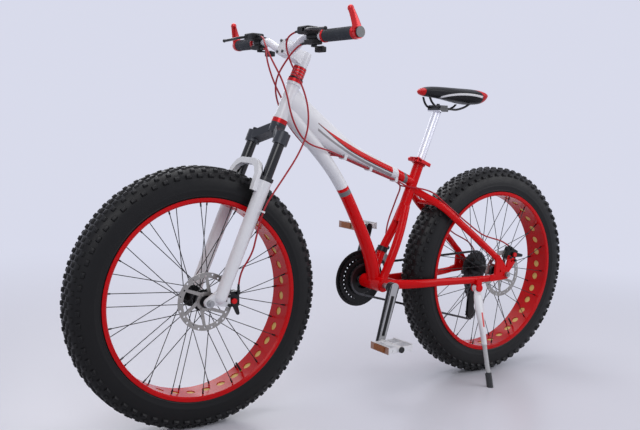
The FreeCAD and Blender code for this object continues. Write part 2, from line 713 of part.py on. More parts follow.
def fork_lowers():
    """Both sliding legs, cast in one with the arch over the tyre, the dropouts and the brake tab."""
    wheel = V(-FORK_RAKE, 0, -AXLE_TO_CUP)
    inner_y = FRONT_DROPOUT_SPAN / 2
    pieces = []
    tools = []
    bore_base = CROWN_LEG_TOP - STANCHION_LENGTH - FORK_TRAVEL - 12
    for sign in (-1, 1):
        foot = V(-STANCHION_FORWARD, sign * STANCHION_Y, 0)
        top, bottom = foot + V(0, 0, SLIDER_TOP), foot + V(0, 0, SLIDER_BOTTOM)
        pieces.append(Part.makeCone(SLIDER_BOTTOM_RADIUS, SLIDER_TOP_RADIUS, SLIDER_TOP - SLIDER_BOTTOM,
                                    bottom))
        pieces.append(rod(SLIDER_TOP_RADIUS + 1.5, top - V(0, 0, 2), top + V(0, 0, SEAL_HEIGHT)))
        pieces.append(Part.makeSphere(SLIDER_BOTTOM_RADIUS, bottom))
        low, high = sorted((sign * inner_y, sign * (inner_y + FORK_DROPOUT_THICKNESS)))
        heel = V(-STANCHION_FORWARD, 0, SLIDER_BOTTOM + 10)
        pieces.append(strap(heel, 15, wheel, 13, low, high))
        tools.append(rod(STANCHION_RADIUS + SLIDER_GAP, foot + V(0, 0, bore_base), top + V(0, 0, 20)))
    arch_top = SLIDER_TOP + ARCH_RISE
    outline = [(STANCHION_Y + 9, SLIDER_TOP - 40), (STANCHION_Y + 5, SLIDER_TOP + 14),
               (STANCHION_Y - 15, arch_top - 9), (STANCHION_Y - 40, arch_top)]
    hollow = [(STANCHION_Y - 7, SLIDER_TOP - 40), (STANCHION_Y - 14, SLIDER_TOP + 6),
              (STANCHION_Y - 27, arch_top - 25), (STANCHION_Y - 46, arch_top - 17)]
    corners = [(-y, z) for y, z in outline] + [(y, z) for y, z in reversed(outline)]
    corners += hollow + [(-y, z) for y, z in reversed(hollow)]
    front_x = -STANCHION_FORWARD - 33
    points = [V(front_x, y, z) for y, z in corners]
    arch = Part.Face(Part.makePolygon(points + points[:1])).extrude(V(ARCH_THICKNESS, 0, 0))
    pieces.append(arch)
    for sign in (-1, 1):
        foot = V(front_x + ARCH_THICKNESS - 2, sign * STANCHION_Y - 8, SLIDER_TOP - 40)
        pieces.append(Part.makeBox(18, 16, 40, foot))
    tools.append(along_y(AXLE_RADIUS + 2 * RUNNING_GAP, -120, 120, wheel))
    tab = caliper_tab(FRAME_DROPOUT_THICKNESS, V(20, 0, 0))
    tab = moved(turned(tab, FRONT_CALIPER_ANGLE + HEAD_LEAN), wheel + V(0, FRONT_ROTOR_Y, 0))
    return without(join(pieces + [tab]), tools)


def stem():
    """Stem with its face plate, four bolts and the top cap over the steerer."""
    grip_x = -STEM_REACH
    half_clamp = 21.0
    half_width = 22.0
    body = [rod(STEM_RADIUS, V(0, 0, STEM_BASE), V(0, 0, STEM_TOP)),
            block(grip_x - 17, grip_x + 15, -half_width, half_width, BAR_UP - half_clamp,
                  BAR_UP + half_clamp)]
    wires = []
    for x, half_y, low, high in ((0, 15, STEM_BASE + 3, STEM_TOP - 3),
                                 (grip_x + 12, 17, BAR_UP - 17, BAR_UP + 17)):
        points = [V(x, -half_y, low), V(x, half_y, low), V(x, half_y, high), V(x, -half_y, high)]
        wires.append(Part.makePolygon(points + points[:1]))
    body.append(Part.makeLoft(wires, True, True))
    centre = V(grip_x, 0, BAR_UP)
    tools = [rod(STEERER_RADIUS + RUNNING_GAP, V(0, 0, STEM_BASE - 5), V(0, 0, STEM_TOP + 5)),
             along_y(BAR_CLAMP_RADIUS + RUNNING_GAP, -40, 40, centre),
             block(grip_x - 1.5, grip_x, -40, 40, BAR_UP - 40, BAR_UP + 40)]
    bolts = []
    for y in (-14.0, 14.0):
        for z in (-17.0, 17.0):
            head = V(grip_x - 17, y, BAR_UP + z)
            bolts.append(join([rod(4, head - V(4, 0, 0), head - V(SEAT_GAP, 0, 0)),
                               rod(2.4, head - V(1, 0, 0), head + V(28, 0, 0))]))
            tools.append(rod(2.5, head - V(1, 0, 0), head + V(29, 0, 0)))
    cap = rod(STEM_RADIUS - 1.5, V(0, 0, STEM_TOP + RUNNING_GAP), V(0, 0, STEM_TOP + TOP_CAP_HEIGHT))
    return [without(join(body), tools), cap] + bolts


def bar_route(sign):
    """Corners of one half of the handlebar, from the stem outwards."""
    offsets = [(0, 0, 0), (0, 45, 0), (-5.5, 92, 23.6), (13.5, BAR_HALF_WIDTH, 26.6)]
    return [BAR_CENTRE + V(x, sign * y, z) for x, y, z in offsets]


def bar_point(sign, y):
    """Point on the bar's straight outer run at a distance from the middle plane."""
    inner, outer = bar_route(sign)[2:]
    return inner + (outer - inner) * ((y - abs(inner.y)) / (abs(outer.y) - abs(inner.y)))


def sleeve(sign, radius, y0, y1):
    """Ring round the bar's outer run."""
    return ring(radius, BAR_RADIUS + RUNNING_GAP, bar_point(sign, y0), bar_point(sign, y1))


def handlebar():
    points = list(reversed(bar_route(-1)))[:-1] + bar_route(1)[1:]
    bar = swept(points, BAR_RADIUS)
    middle = along_y(BAR_CLAMP_RADIUS, -BAR_CLAMP_HALF, BAR_CLAMP_HALF, BAR_CENTRE)
    return join([bar, middle]).cut(swept(points, BAR_RADIUS - BAR_WALL))


def grips():
    made = []
    for sign in (-1, 1):
        made.append(sleeve(sign, GRIP_RADIUS, GRIP_START + LOCK_RING_WIDTH, GRIP_END - LOCK_RING_WIDTH))
        made.append(sleeve(sign, LOCK_RING_RADIUS, GRIP_START, GRIP_START + LOCK_RING_WIDTH - RUNNING_GAP))
        made.append(sleeve(sign, LOCK_RING_RADIUS, GRIP_END - LOCK_RING_WIDTH + RUNNING_GAP, GRIP_END))
    return made


def bar_ends():
    """Short horns clamped outside the grips, and the plugs in the bar's ends."""
    made = []
    start = GRIP_END + SEAT_GAP
    for sign in (-1, 1):
        middle = bar_point(sign, start + BAR_END_CLAMP_WIDTH / 2)
        lift = V(-0.33, 0, 0.94).normalize()
        clamp = rod(GRIP_RADIUS, bar_point(sign, start), bar_point(sign, start + BAR_END_CLAMP_WIDTH))
        wires = []
        for height, half_fore, half_across, lean in BAR_END_STATIONS:
            centre = middle + lift * height + V(0, -sign * lean, 0)
            wires.append(oval(centre, lift, half_fore, half_across))
        horn = join([clamp, Part.makeLoft(wires, True, False), Part.makeSphere(BAR_END_TIP_RADIUS, centre)])
        bore = rod(BAR_RADIUS + RUNNING_GAP, bar_point(sign, start - 5), bar_point(sign, BAR_HALF_WIDTH + 10))
        made.append(horn.cut(bore))
        cap_start = BAR_HALF_WIDTH + 4
        made.append(rod(BAR_RADIUS + 3, bar_point(sign, cap_start), bar_point(sign, cap_start + 4)))
        made.append(rod(BAR_RADIUS - BAR_WALL - 0.2, bar_point(sign, BAR_HALF_WIDTH - 12),
                        bar_point(sign, cap_start - RUNNING_GAP)))
    return made


POD_MIDDLE = (POD_START + POD_END) / 2
LEVER_PIVOT = V(-LEVER_STANDOFF - 3, POD_END - 10, 14)
SHIFT_PIVOT = V(-4, POD_MIDDLE, -24)
POD_CABLE = V(-27, POD_START - 12, 14)
SHIFT_CABLE = V(-14, POD_START - 6, -17)


def bar_place(sign, offset):
    """Point at an offset from the bar at the pod: X, distance from the middle plane, Z."""
    seat = bar_point(sign, POD_MIDDLE)
    return V(seat.x + offset.x, sign * offset.y, seat.z + offset.z)


def control_pods():
    """Brake perch and shifter housing, clamped to the bar as one pod on each side."""
    seat = bar_point(1, POD_MIDDLE)
    clamp = rod(BAR_RADIUS + 5, bar_point(1, POD_START + 6), bar_point(1, POD_END - 6))
    perch = block(seat.x - LEVER_STANDOFF - 10, seat.x - 4, POD_START, POD_END, seat.z + 4, seat.z + 24)
    perch = perch.makeFillet(5.0, perch.Edges)
    shifter = block(seat.x - 22, seat.x + 9, POD_START + 2, POD_END - 4, seat.z - 24 + 3.3, seat.z - 8)
    shifter = shifter.makeFillet(3.0, shifter.Edges)
    barrel = rod(4.5, bar_place(1, POD_CABLE), bar_place(1, POD_CABLE) + V(0, 20, 0))
    shift_barrel = rod(4.0, bar_place(1, SHIFT_CABLE), bar_place(1, SHIFT_CABLE) + V(0, 12, 0))
    pivot = bar_place(1, LEVER_PIVOT)
    slot = block(pivot.x - 16, pivot.x + 10, pivot.y - 14, POD_END + 20, pivot.z - 4.3, pivot.z + 4.3)
    pin = rod(3.0, pivot - V(0, 0, 9), pivot + V(0, 0, 9))
    shift_pin = rod(3.0, bar_place(1, SHIFT_PIVOT) - V(0, 0, 3.5), bar_place(1, SHIFT_PIVOT) + V(0, 0, 6))
    bore = rod(BAR_RADIUS + RUNNING_GAP, bar_point(1, POD_START - 40), bar_point(1, POD_END + 40))
    body = without(join([clamp, perch, shifter, barrel, shift_barrel]), [slot, bore])
    pod = join([body, pin.cut(bore), shift_pin.cut(bore)])
    return [pod, mirrored(pod)]


def brake_lever():
    """Right-hand brake lever: a bent blade on an upright pin."""
    pivot = bar_place(1, LEVER_PIVOT)
    half = 4.0
    knuckle = rod(8.0, pivot - V(0, 0, half), pivot + V(0, 0, half))
    offsets = [V(-5, 4, 0), V(-14, 30, -2), V(-14, 70, -4), V(-18, LEVER_LENGTH, -6)]
    route = [pivot + offset for offset in offsets]
    path = swept_path(route)[0]
    start = oval(route[0], (route[1] - route[0]).normalize(), 4.0, 4.0)
    blade = path.makePipeShell([start], True, False)
    lever = join([knuckle, blade, Part.makeSphere(5.0, route[-1])])
    return lever.cut(rod(3.0 + RUNNING_GAP, pivot - V(0, 0, 20), pivot + V(0, 0, 20)))


def shift_lever():
    """Right-hand thumb paddle under the bar."""
    pivot = bar_place(1, SHIFT_PIVOT)
    low = pivot - V(0, 0, 3)
    hub_disc = rod(8, low, pivot + V(0, 0, 3))
    arm = block(pivot.x, pivot.x + 30, pivot.y - 9, pivot.y - 1, low.z, low.z + 4)
    pad = block(pivot.x + 24, pivot.x + 32, pivot.y - 20, pivot.y + 2, low.z - 3, low.z + 6)
    pad = pad.makeFillet(2.0, pad.Edges)
    return join([hub_disc, arm, pad]).cut(rod(3.0 + RUNNING_GAP, pivot - V(0, 0, 20), pivot + V(0, 0, 20)))


def cable_clip():
    """Clip on the left slider that holds the front brake cable, on a short foot."""
    middle = (FORK_CLIP_RUN[0] + FORK_CLIP_RUN[1]) * 0.5
    along = (FORK_CLIP_RUN[1] - FORK_CLIP_RUN[0]).normalize()
    height = (middle - HEAD_BASE).dot(HEAD_UP)
    leg_axis = HEAD_BASE + HEAD_UP * height - HEAD_BACK * STANCHION_FORWARD - ACROSS * STANCHION_Y
    outward = (middle - leg_axis).normalize()
    hole = rod(CABLE_RADIUS + 0.7, middle - along * 10, middle + along * 10)
    loop = rod(CABLE_RADIUS + 2.5, middle - along * 2.5, middle + along * 2.5)
    foot = rod(2.4, leg_axis + outward * (STANCHION_RADIUS + 2), middle)
    return join([loop, foot]).cut(hole)


def build_front():
    save("fork_crown", on_head(fork_crown()))
    save("stanchions", *[on_head(leg) for leg in stanchions()])
    save("lockout_dial", on_head(lockout_dial()))
    save("fork_lowers", join([on_head(fork_lowers()), cable_clip()]))
    save("stem", *[on_head(piece) for piece in stem()])
    bore = STEERER_RADIUS + RUNNING_GAP
    spacers = []
    for index in range(SPACER_COUNT):
        low = SPACER_BASE + index * SPACER_HEIGHT
        neck = ring(SPACER_RADIUS - 1.5, bore, V(0, 0, low), V(0, 0, low + SPACER_HEIGHT - RUNNING_GAP))
        rib = ring(SPACER_RADIUS, bore, V(0, 0, low + 1.2), V(0, 0, low + SPACER_HEIGHT - 1.2))
        spacers.append(on_head(join([neck, rib])))
    save("headset_spacers", *spacers)
    save("handlebar", handlebar())
    save("grips", *grips())
    save("bar_ends", *bar_ends())
    save("control_pods", *control_pods())
    save("brake_lever_right", brake_lever())
    save("brake_lever_left", mirrored(brake_lever()))
    save("shift_lever_right", shift_lever())
    save("shift_lever_left", mirrored(shift_lever()))


# Frame. A station is a share of the way between two joints, a rise off that line and the tube's size there.
TOP_TUBE = [
    (-0.01, 0, 45, 38, 17), (0.193, -21.5, 42, 36, 20), (0.363, -32.3, 32, 33, 21),
    (0.492, -30.5, 26, 24.5, 20), (0.654, -22.1, 22.5, 20.8, 19), (0.859, -8.5, 20.5, 16.8, 17),
    (1.019, 0.7, 21, 16.5, 16)]
DOWN_TUBE = [
    (-0.01, 2.0, 40, 21, 17), (0.133, 26.3, 42, 22, 19), (0.299, 46.6, 50, 20, 20),
    (0.481, 55.3, 60, 18.5, 20), (0.662, 48.2, 60.5, 18.5, 20), (0.832, 34.9, 62, 20, 22),
    (0.94, 17.1, 71, 21, 24), (1.008, 0.3, 75, 21, 24)]
SEAT_LEG = [
    (0.02, -1.0, 7), (0.15, -4.0, 13), (0.3, -6.6, 19), (0.585, -5.1, 29), (0.71, -5.1, 29.5),
    (0.99, -4.0, 30)]
CHAIN_STAY = [
    (0.01, -2.1, 36, 16, 9), (0.127, -3.9, 46, 15, 9), (0.218, -5.5, 57, 14, 9),
    (0.34, -6.4, 67, 13, 8.5), (0.532, -8.7, 72, 12.5, 8.5), (0.754, -10.3, 86, 11.5, 8),
    (0.886, -7.2, 99, 11, 6)]
SEAT_STAY = [
    (0.0, 0.8, 10, 12, 8), (0.118, 6.3, 36, 12, 8), (0.219, 11.2, 58, 12, 8),
    (0.371, 14.2, 68, 12, 8), (0.628, 17.5, 82, 11.5, 8), (0.79, 17.5, 94, 11, 7),
    (0.865, 17.5, 99, 11, 6)]
TOP_TUBE_HEAD = HEAD_BASE + HEAD_UP * 75.0
DOWN_TUBE_HEAD = HEAD_BASE + HEAD_UP * 30.0
TOP_TUBE_SEAT = SEAT_TOP - SEAT_UP * 75.0
SEAT_LEG_TOP = SEAT_TOP - SEAT_UP * 150.0
SEAT_STAY_TOP = SEAT_TOP - SEAT_UP * 95.0


def off_line(start, end, share, rise):
    """Point at a share of the way between two joints, lifted off the line between them."""
    along = (end - start).normalize()
    lift = ACROSS.cross(along)
    if lift.z < 0:
        lift = -lift
    return start + (end - start) * share + lift * rise


def main_tube(start, end, stations, grow, stretch):
    """Loft of a frame tube in the middle plane, made larger by a margin and longer at its ends."""
    wires = []
    for index, (share, rise, slope, half_height, half_width) in enumerate(stations):
        along = xz(-slope)
        push = -stretch if index == 0 else stretch if index == len(stations) - 1 else 0
        centre = off_line(start, end, share, rise) + along * push
        wires.append(oval(centre, along, half_height + grow, half_width + grow))
    return Part.makeLoft(wires, True, False)


def stay(start, end, stations, sign):
    """Loft of one stay, which leaves the middle plane on its way to the axle."""
    points = [off_line(start, end, share, rise) + ACROSS * (sign * y) for share, rise, y, _, _ in stations]
    wires = []
    for index, station in enumerate(stations):
        before, after = points[max(index - 1, 0)], points[min(index + 1, len(points) - 1)]
        wires.append(oval(points[index], (after - before).normalize(), station[3], station[4]))
    return Part.makeLoft(wires, True, False)


def seat_legs(grow):
    """The two legs that carry the seat tube down to the shell."""
    size = SEAT_LEG_RADIUS + grow
    stations = [(share, rise, y, size, size) for share, rise, y in SEAT_LEG]
    legs = []
    for sign in (-1, 1):
        half_space = block(-200, 400, 0, 100, 200, 800) if sign > 0 else block(-200, 400, -100, 0, 200, 800)
        legs.append(stay(SEAT_LEG_TOP, SHELL, stations, sign).common(half_space))
    return legs


def frame_dropout(sign):
    """Rear dropout plate, with the tab for the brake on the left and the derailleur hanger on the right."""
    inner = REAR_DROPOUT_SPAN / 2
    low, high = sorted((sign * inner, sign * (inner + FRAME_DROPOUT_THICKNESS)))
    stay_end = off_line(SHELL, REAR_AXLE, CHAIN_STAY[-1][0], CHAIN_STAY[-1][1])
    seat_end = off_line(SEAT_STAY_TOP, REAR_AXLE, SEAT_STAY[-1][0], SEAT_STAY[-1][1])
    stay_end = V(stay_end.x - 12, 0, stay_end.z - 1)
    seat_end = V(seat_end.x - 8, 0, seat_end.z + 6)
    pieces = [strap(stay_end, 11, REAR_AXLE, 16, low, high), strap(seat_end, 11, REAR_AXLE, 15, low, high),
              strap(stay_end + V(24, 0, 4), 10, seat_end + V(4, 0, -6), 9, low, high)]
    if sign < 0:
        tab = turned(caliper_tab(FRAME_DROPOUT_THICKNESS, V(20, 0, 0)), REAR_CALIPER_ANGLE)
        pieces.append(moved(tab, REAR_AXLE + V(0, REAR_ROTOR_Y, 0)))
    else:
        pieces.append(strap(REAR_AXLE, 13, HANGER, 9, low, high))
    return join(pieces).cut(along_y(AXLE_RADIUS + 2 * RUNNING_GAP, -200, 200, REAR_AXLE))


def rear_triangle(seat_solids):
    pieces = []
    for sign in (-1, 1):
        pieces.append(stay(SHELL, REAR_AXLE, CHAIN_STAY, sign))
        pieces.append(stay(SEAT_STAY_TOP, REAR_AXLE, SEAT_STAY, sign))
        pieces.append(frame_dropout(sign))
    seat_bridge = off_line(SEAT_STAY_TOP, REAR_AXLE, 0.19, 9.5)
    chain_bridge = off_line(SHELL, REAR_AXLE, 0.168, -4.5)
    pieces.append(along_y(BRIDGE_RADIUS, -50, 50, seat_bridge))
    pieces.append(along_y(BRIDGE_RADIUS, -48, 48, chain_bridge))
    shell = along_y(SHELL_RADIUS + WELD_GAP, -SHELL_HALF_WIDTH, SHELL_HALF_WIDTH, SHELL)
    hanger_hole = along_y(4.0, 80, 120, HANGER)
    return largest(without(join(pieces), [shell, hanger_hole] + seat_solids))


def cable_station(share):
    """Where cables run under the top tube: a point below it and the tube's direction there."""
    before = max(station for station in TOP_TUBE if station[0] <= share)
    after = min(station for station in TOP_TUBE if station[0] > share)
    blend = (share - before[0]) / (after[0] - before[0])
    rise, slope, half_height = [before[k] + (after[k] - before[k]) * blend for k in (1, 2, 3)]
    drop = half_height + CABLE_RADIUS + CABLE_CLEARANCE
    return off_line(TOP_TUBE_HEAD, TOP_TUBE_SEAT, share, rise) - xz(90 - slope) * drop


CABLE_SHARES = (0.43, 0.515, 0.61, 0.71, 0.815, 0.905)
GUIDE_RUNS = ((0, 1), (2, 3), (4, 5))


def cable_guide(run):
    """Block under the top tube that three cables pass through."""
    first, second = [cable_station(CABLE_SHARES[index]) for index in run]
    along = (second - first).normalize()
    lift = along.cross(ACROSS).normalize()
    middle = (first + second) * 0.5
    bottom = middle - along * 5 - lift * (CABLE_RADIUS + 2.5)
    top = middle - along * 5 + lift * (CABLE_RADIUS + CABLE_CLEARANCE + 7)
    half = ACROSS * (CABLE_PITCH + CABLE_RADIUS + 2.5)
    points = [bottom - half, bottom + half, top + half, top - half]
    body = Part.Face(Part.makePolygon(points + points[:1])).extrude(along * 10)
    holes = []
    for y in (-CABLE_PITCH, 0.0, CABLE_PITCH):
        row = middle + ACROSS * y
        holes.append(rod(CABLE_RADIUS + 0.4, row - along * 20, row + along * 20))
    return without(body, holes)


def build_frame():
    head_low, head_high = CUP_HALF, HEAD_TUBE_TOP
    collar = 8.0
    head_tube = without(join([
        rod(HEAD_TUBE_RADIUS, V(0, 0, head_low), V(0, 0, head_high)),
        rod(HEAD_TUBE_END_RADIUS, V(0, 0, head_low), V(0, 0, head_low + collar)),
        rod(HEAD_TUBE_END_RADIUS, V(0, 0, head_high - collar), V(0, 0, head_high))]),
        [rod(HEAD_TUBE_BORE, V(0, 0, head_low), V(0, 0, head_high))])
    save("head_tube", on_head(head_tube))
    bore = STEERER_RADIUS + RUNNING_GAP
    low_cup = ring(CUP_RADIUS, bore, V(0, 0, CROWN_TOP + SEAT_GAP), V(0, 0, head_low - RUNNING_GAP))
    high_cup = ring(CUP_RADIUS, bore, V(0, 0, head_high + RUNNING_GAP), V(0, 0, head_high + CUP_HEIGHT))
    save("headset_cups", on_head(low_cup), on_head(high_cup))

    head_tool = on_head(rod(HEAD_TUBE_RADIUS + WELD_GAP, V(0, 0, head_low - 30), V(0, 0, head_high + 30)))
    collar_tool = on_head(join([
        rod(HEAD_TUBE_END_RADIUS + WELD_GAP, V(0, 0, head_low - 20), V(0, 0, head_low + collar + WELD_GAP)),
        rod(HEAD_TUBE_END_RADIUS + WELD_GAP, V(0, 0, head_high - collar - WELD_GAP),
            V(0, 0, head_high + 20))]))
    seat_tool = on_seat(rod(SEAT_TUBE_RADIUS + WELD_GAP, V(0, 0, -SEAT_TUBE_LENGTH - WELD_GAP), V(0, 0, 30)))
    shell_tool = along_y(SHELL_RADIUS + WELD_GAP, -SHELL_HALF_WIDTH, SHELL_HALF_WIDTH, SHELL)
    leg_tools = seat_legs(WELD_GAP)

    top_outer = main_tube(TOP_TUBE_HEAD, TOP_TUBE_SEAT, TOP_TUBE, 0, 0)
    top_inner = main_tube(TOP_TUBE_HEAD, TOP_TUBE_SEAT, TOP_TUBE, -TUBE_WALL, 3)
    guides = [cable_guide(run) for run in GUIDE_RUNS]
    top_tube = without(join([top_outer] + guides), [top_inner, head_tool, collar_tool, seat_tool])
    save("top_tube", largest(top_tube))

    down_outer = main_tube(DOWN_TUBE_HEAD, SHELL, DOWN_TUBE, 0, 0)
    down_inner = main_tube(DOWN_TUBE_HEAD, SHELL, DOWN_TUBE, -TUBE_WALL, 3)
    top_tool = main_tube(TOP_TUBE_HEAD, TOP_TUBE_SEAT, TOP_TUBE, WELD_GAP, 0)
    tools = [down_inner, head_tool, collar_tool, top_tool, shell_tool, seat_tool] + leg_tools
    save("down_tube", largest(without(down_outer, tools)))

    tube = on_seat(rod(SEAT_TUBE_RADIUS, V(0, 0, -SEAT_TUBE_LENGTH), V(0, 0, 0)))
    post_bore = on_seat(rod(POST_RADIUS + RUNNING_GAP, V(0, 0, -SEAT_TUBE_LENGTH + 12), V(0, 0, 5)))
    save("seat_tube", largest(without(join([tube] + seat_legs(0)), [post_bore, shell_tool])))

    shell_half = ACROSS * SHELL_HALF_WIDTH
    shell = ring(SHELL_RADIUS, SHELL_BORE, SHELL - shell_half, SHELL + shell_half)
    cup_end = SHELL_HALF_WIDTH + 3
    cartridge = join([along_y(SHELL_BORE - RUNNING_GAP, -cup_end, cup_end, SHELL),
                      along_y(SHELL_RADIUS - 2, -cup_end, -SHELL_HALF_WIDTH - RUNNING_GAP, SHELL),
                      along_y(SHELL_RADIUS - 2, SHELL_HALF_WIDTH + RUNNING_GAP, cup_end, SHELL)])
    save("bottom_bracket_shell", shell, cartridge.cut(along_y(SPINDLE_RADIUS + RUNNING_GAP, -70, 70, SHELL)))
    save("rear_triangle", rear_triangle([seat_tool] + leg_tools))


# Seat
POST_HEAD = SEAT_TOP + SEAT_UP * POST_EXPOSED
RAIL_FRONT = V(-26, RAIL_HALF_SPACING, 7.1)
RAIL_REAR = V(63, RAIL_HALF_SPACING, 2)


def rail_route(sign):
    """One saddle rail, from under the nose, through the clamp, to under the rear."""
    offsets = [V(-54, 15, 46), V(-43, 18, 22), RAIL_FRONT, V(10, RAIL_HALF_SPACING + 0.2, 4.6), RAIL_REAR,
               V(93, 27, 12), V(113, 33, 26)]
    return [POST_HEAD + V(point.x, sign * point.y, point.z) for point in offsets]


def saddle():
    """Cushion with a crowned top and drawn-in sides, from the nose to the broad rear."""
    stations = [(-85, 12, 57, 47), (-75, 20, 66, 41), (-40, 25, 73, 38), (10, 30, 74, 34), (55, 41, 73, 28),
                (97, 57, 73, 23), (132, 70, 73, 21), (158, 69, 70, 24), (174, 50, 62, 34)]
    wires = []
    for x, half, top, bottom in stations:
        edge = top - 0.3 * (top - bottom) - 2
        waist = bottom + 0.35 * (edge - bottom)
        place = POST_HEAD + V(x, 0, 0)
        points = [place + V(0, y, z) for y, z in (
            (-half, edge), (0, top), (half, edge), (0.95 * half, waist), (0.78 * half, bottom),
            (-0.78 * half, bottom), (-0.95 * half, waist))]
        crown = Part.Arc(*points[0:3])
        base = Part.LineSegment(points[4], points[5])
        sides = Part.Arc(*points[2:5]), Part.Arc(points[5], points[6], points[0])
        wires.append(Part.Wire([edge.toShape() for edge in (crown, sides[0], base, sides[1])]))
    return Part.makeLoft(wires, True, False)


def build_seat():
    post = rod(POST_RADIUS, SEAT_TOP - SEAT_UP * POST_INSERTED, POST_HEAD)
    rails = [swept(rail_route(sign), RAIL_RADIUS) for sign in (-1, 1)]
    rail_tools = [swept(rail_route(sign), RAIL_RADIUS + RUNNING_GAP) for sign in (-1, 1)]
    half = RAIL_HALF_SPACING + 8
    seam = 5.5
    cradle = block(-17, 19, -half, half, -6, seam - 0.4)
    bolt = join([rod(3, V(1, 0, -4), V(1, 0, 16)), rod(5.5, V(1, 0, 14.3), V(1, 0, 19))])
    upper = block(-14, 16, -half, half, seam + 0.4, 14)
    pieces = [moved(piece, POST_HEAD) for piece in (cradle, upper, bolt)]
    bolt_hole = moved(rod(3.05, V(1, 0, -4.05), V(1, 0, 20)), POST_HEAD)
    lower = without(join([post, pieces[0]]), rail_tools + [bolt_hole])
    save("seat_post", lower, without(pieces[1], rail_tools + [bolt_hole]), pieces[2])
    cushion = saddle()
    save("saddle_rails", *[rail.cut(cushion) for rail in rails])
    save("saddle", without(cushion, rail_tools))

    ear_x = -CLAMP_RING_RADIUS - 5
    skewer_z = -CLAMP_RING_HEIGHT / 2 + 1
    collar = rod(CLAMP_RING_RADIUS, V(0, 0, -CLAMP_RING_HEIGHT), V(0, 0, 1.5))
    ears = block(ear_x - 6, -SEAT_TUBE_RADIUS, -13, 13, -CLAMP_RING_HEIGHT + 1, 0)
    skewer_start, skewer_end = V(ear_x, -22, skewer_z), V(ear_x, 22, skewer_z)
    nut = rod(6.5, V(ear_x, 13.3, skewer_z), V(ear_x, 21, skewer_z))
    tools = [rod(SEAT_TUBE_RADIUS + RUNNING_GAP, V(0, 0, -30), V(0, 0, 0.2)),
             rod(POST_RADIUS + SEAT_GAP, V(0, 0, -1), V(0, 0, 5)),
             block(ear_x - 10, -SEAT_TUBE_RADIUS + 1, -1.2, 1.2, -30, 5)]
    band = without(join([collar, ears]), tools)
    hole = rod(3.1, V(ear_x, -30, skewer_z), V(ear_x, 30, skewer_z))
    pin = rod(3.0, V(ear_x, -22, skewer_z - 7.5), V(ear_x, -22, skewer_z + 7.5))
    skewer = join([rod(3.0, skewer_start, skewer_end), nut, pin])
    save("seat_clamp", *[on_seat(piece) for piece in [solid.cut(hole) for solid in band.Solids] + [skewer]])
    lever_blade = block(ear_x - 4, ear_x + 52, -29, -24, skewer_z - 6, skewer_z + 6)
    lever_blade = lever_blade.makeFillet(2.0, lever_blade.Edges)
    lever_eye = rod(8, V(ear_x, -22, skewer_z - 7), V(ear_x, -22, skewer_z + 7))
    socket = [rod(3.05, V(ear_x, -22, skewer_z - 9), V(ear_x, -22, skewer_z + 9)),
              block(ear_x - 9, ear_x + 9, -31, -10, skewer_z - 3.4, skewer_z + 3.4)]
    lever = without(join([lever_blade, lever_eye]), socket)
    save("seat_clamp_lever", on_seat(lever))


# Drivetrain
def pitch_radius(teeth):
    return CHAIN_PITCH / (2 * math.sin(math.pi / teeth))


def toothed_disc(teeth, y, thickness, phase, bore):
    """Sprocket whose teeth stand midway between the chain rollers."""
    root = pitch_radius(teeth) - 4.3
    tip = root + 2.8
    outline = []
    for index in range(teeth):
        angle = phase + index * 360.0 / teeth
        for radius, half_width in ((root, -3.5), (tip, -1.6), (tip, 1.6), (root, 3.5)):
            point = xz(angle + math.degrees(half_width / radius)) * radius
            outline.append((point.x, point.z))
    disc = plate(outline, y - thickness / 2, y + thickness / 2)
    return disc.cut(along_y(bore, y - thickness, y + thickness))


def belt(wheels):
    """Runs and arcs of a chain led round wheels of (centre, radius, turn)."""
    headings = []
    following_wheels = wheels[1:] + wheels[:1]
    for (start, start_radius, start_turn), (end, end_radius, end_turn) in zip(wheels, following_wheels):
        gap = end - start
        lean = math.asin((end_turn * end_radius - start_turn * start_radius) / gap.Length)
        headings.append(math.atan2(gap.z, gap.x) - lean)
    pieces = []
    for index, (centre, radius, turn) in enumerate(wheels):
        arrive, leave = headings[index - 1], headings[index]
        sweep = (turn * (leave - arrive)) % math.tau
        first = arrive - turn * math.pi / 2
        pieces.append(("arc", radius * sweep, centre, radius, first, turn))
        following, next_radius, next_turn = following_wheels[index]
        start = centre + xz(math.degrees(leave - turn * math.pi / 2)) * radius
        end = following + xz(math.degrees(leave - next_turn * math.pi / 2)) * next_radius
        pieces.append(("run", (end - start).Length, start, end))
    return pieces


def belt_point(pieces, distance):
    for piece in pieces:
        if distance <= piece[1]:
            break
        distance -= piece[1]
    if piece[0] == "run":
        return piece[2] + (piece[3] - piece[2]) * (distance / piece[1])
    return piece[2] + xz(math.degrees(piece[4] + piece[5] * distance / piece[3])) * piece[3]


def chain_wheels(cage_angle):
    tension = GUIDE_PULLEY + xz(cage_angle) * PULLEY_SPACING
    pulley = pitch_radius(PULLEY_TEETH)
    return [(SHELL, pitch_radius(RING_TEETH[0]), 1), (tension, pulley, 1), (GUIDE_PULLEY, pulley, -1),
            (REAR_AXLE, pitch_radius(COG_TEETH[0]), 1)]


def taut_cage_angle():
    """Angle at which the derailleur's cage takes up the slack of the chain."""
    low, high = -175.0, -75.0
    for _ in range(60):
        middle = (low + high) / 2
        length = sum(piece[1] for piece in belt(chain_wheels(middle)))
        if length > CHAIN_LINKS * CHAIN_PITCH:
            high = middle
        else:
            low = middle
    return (low + high) / 2


CAGE_ANGLE = taut_cage_angle()
CHAIN_RUNS = belt(chain_wheels(CAGE_ANGLE))
CHAIN_PINS = [belt_point(CHAIN_RUNS, index * CHAIN_PITCH) for index in range(CHAIN_LINKS)]
TENSION_PULLEY = GUIDE_PULLEY + xz(CAGE_ANGLE) * PULLEY_SPACING


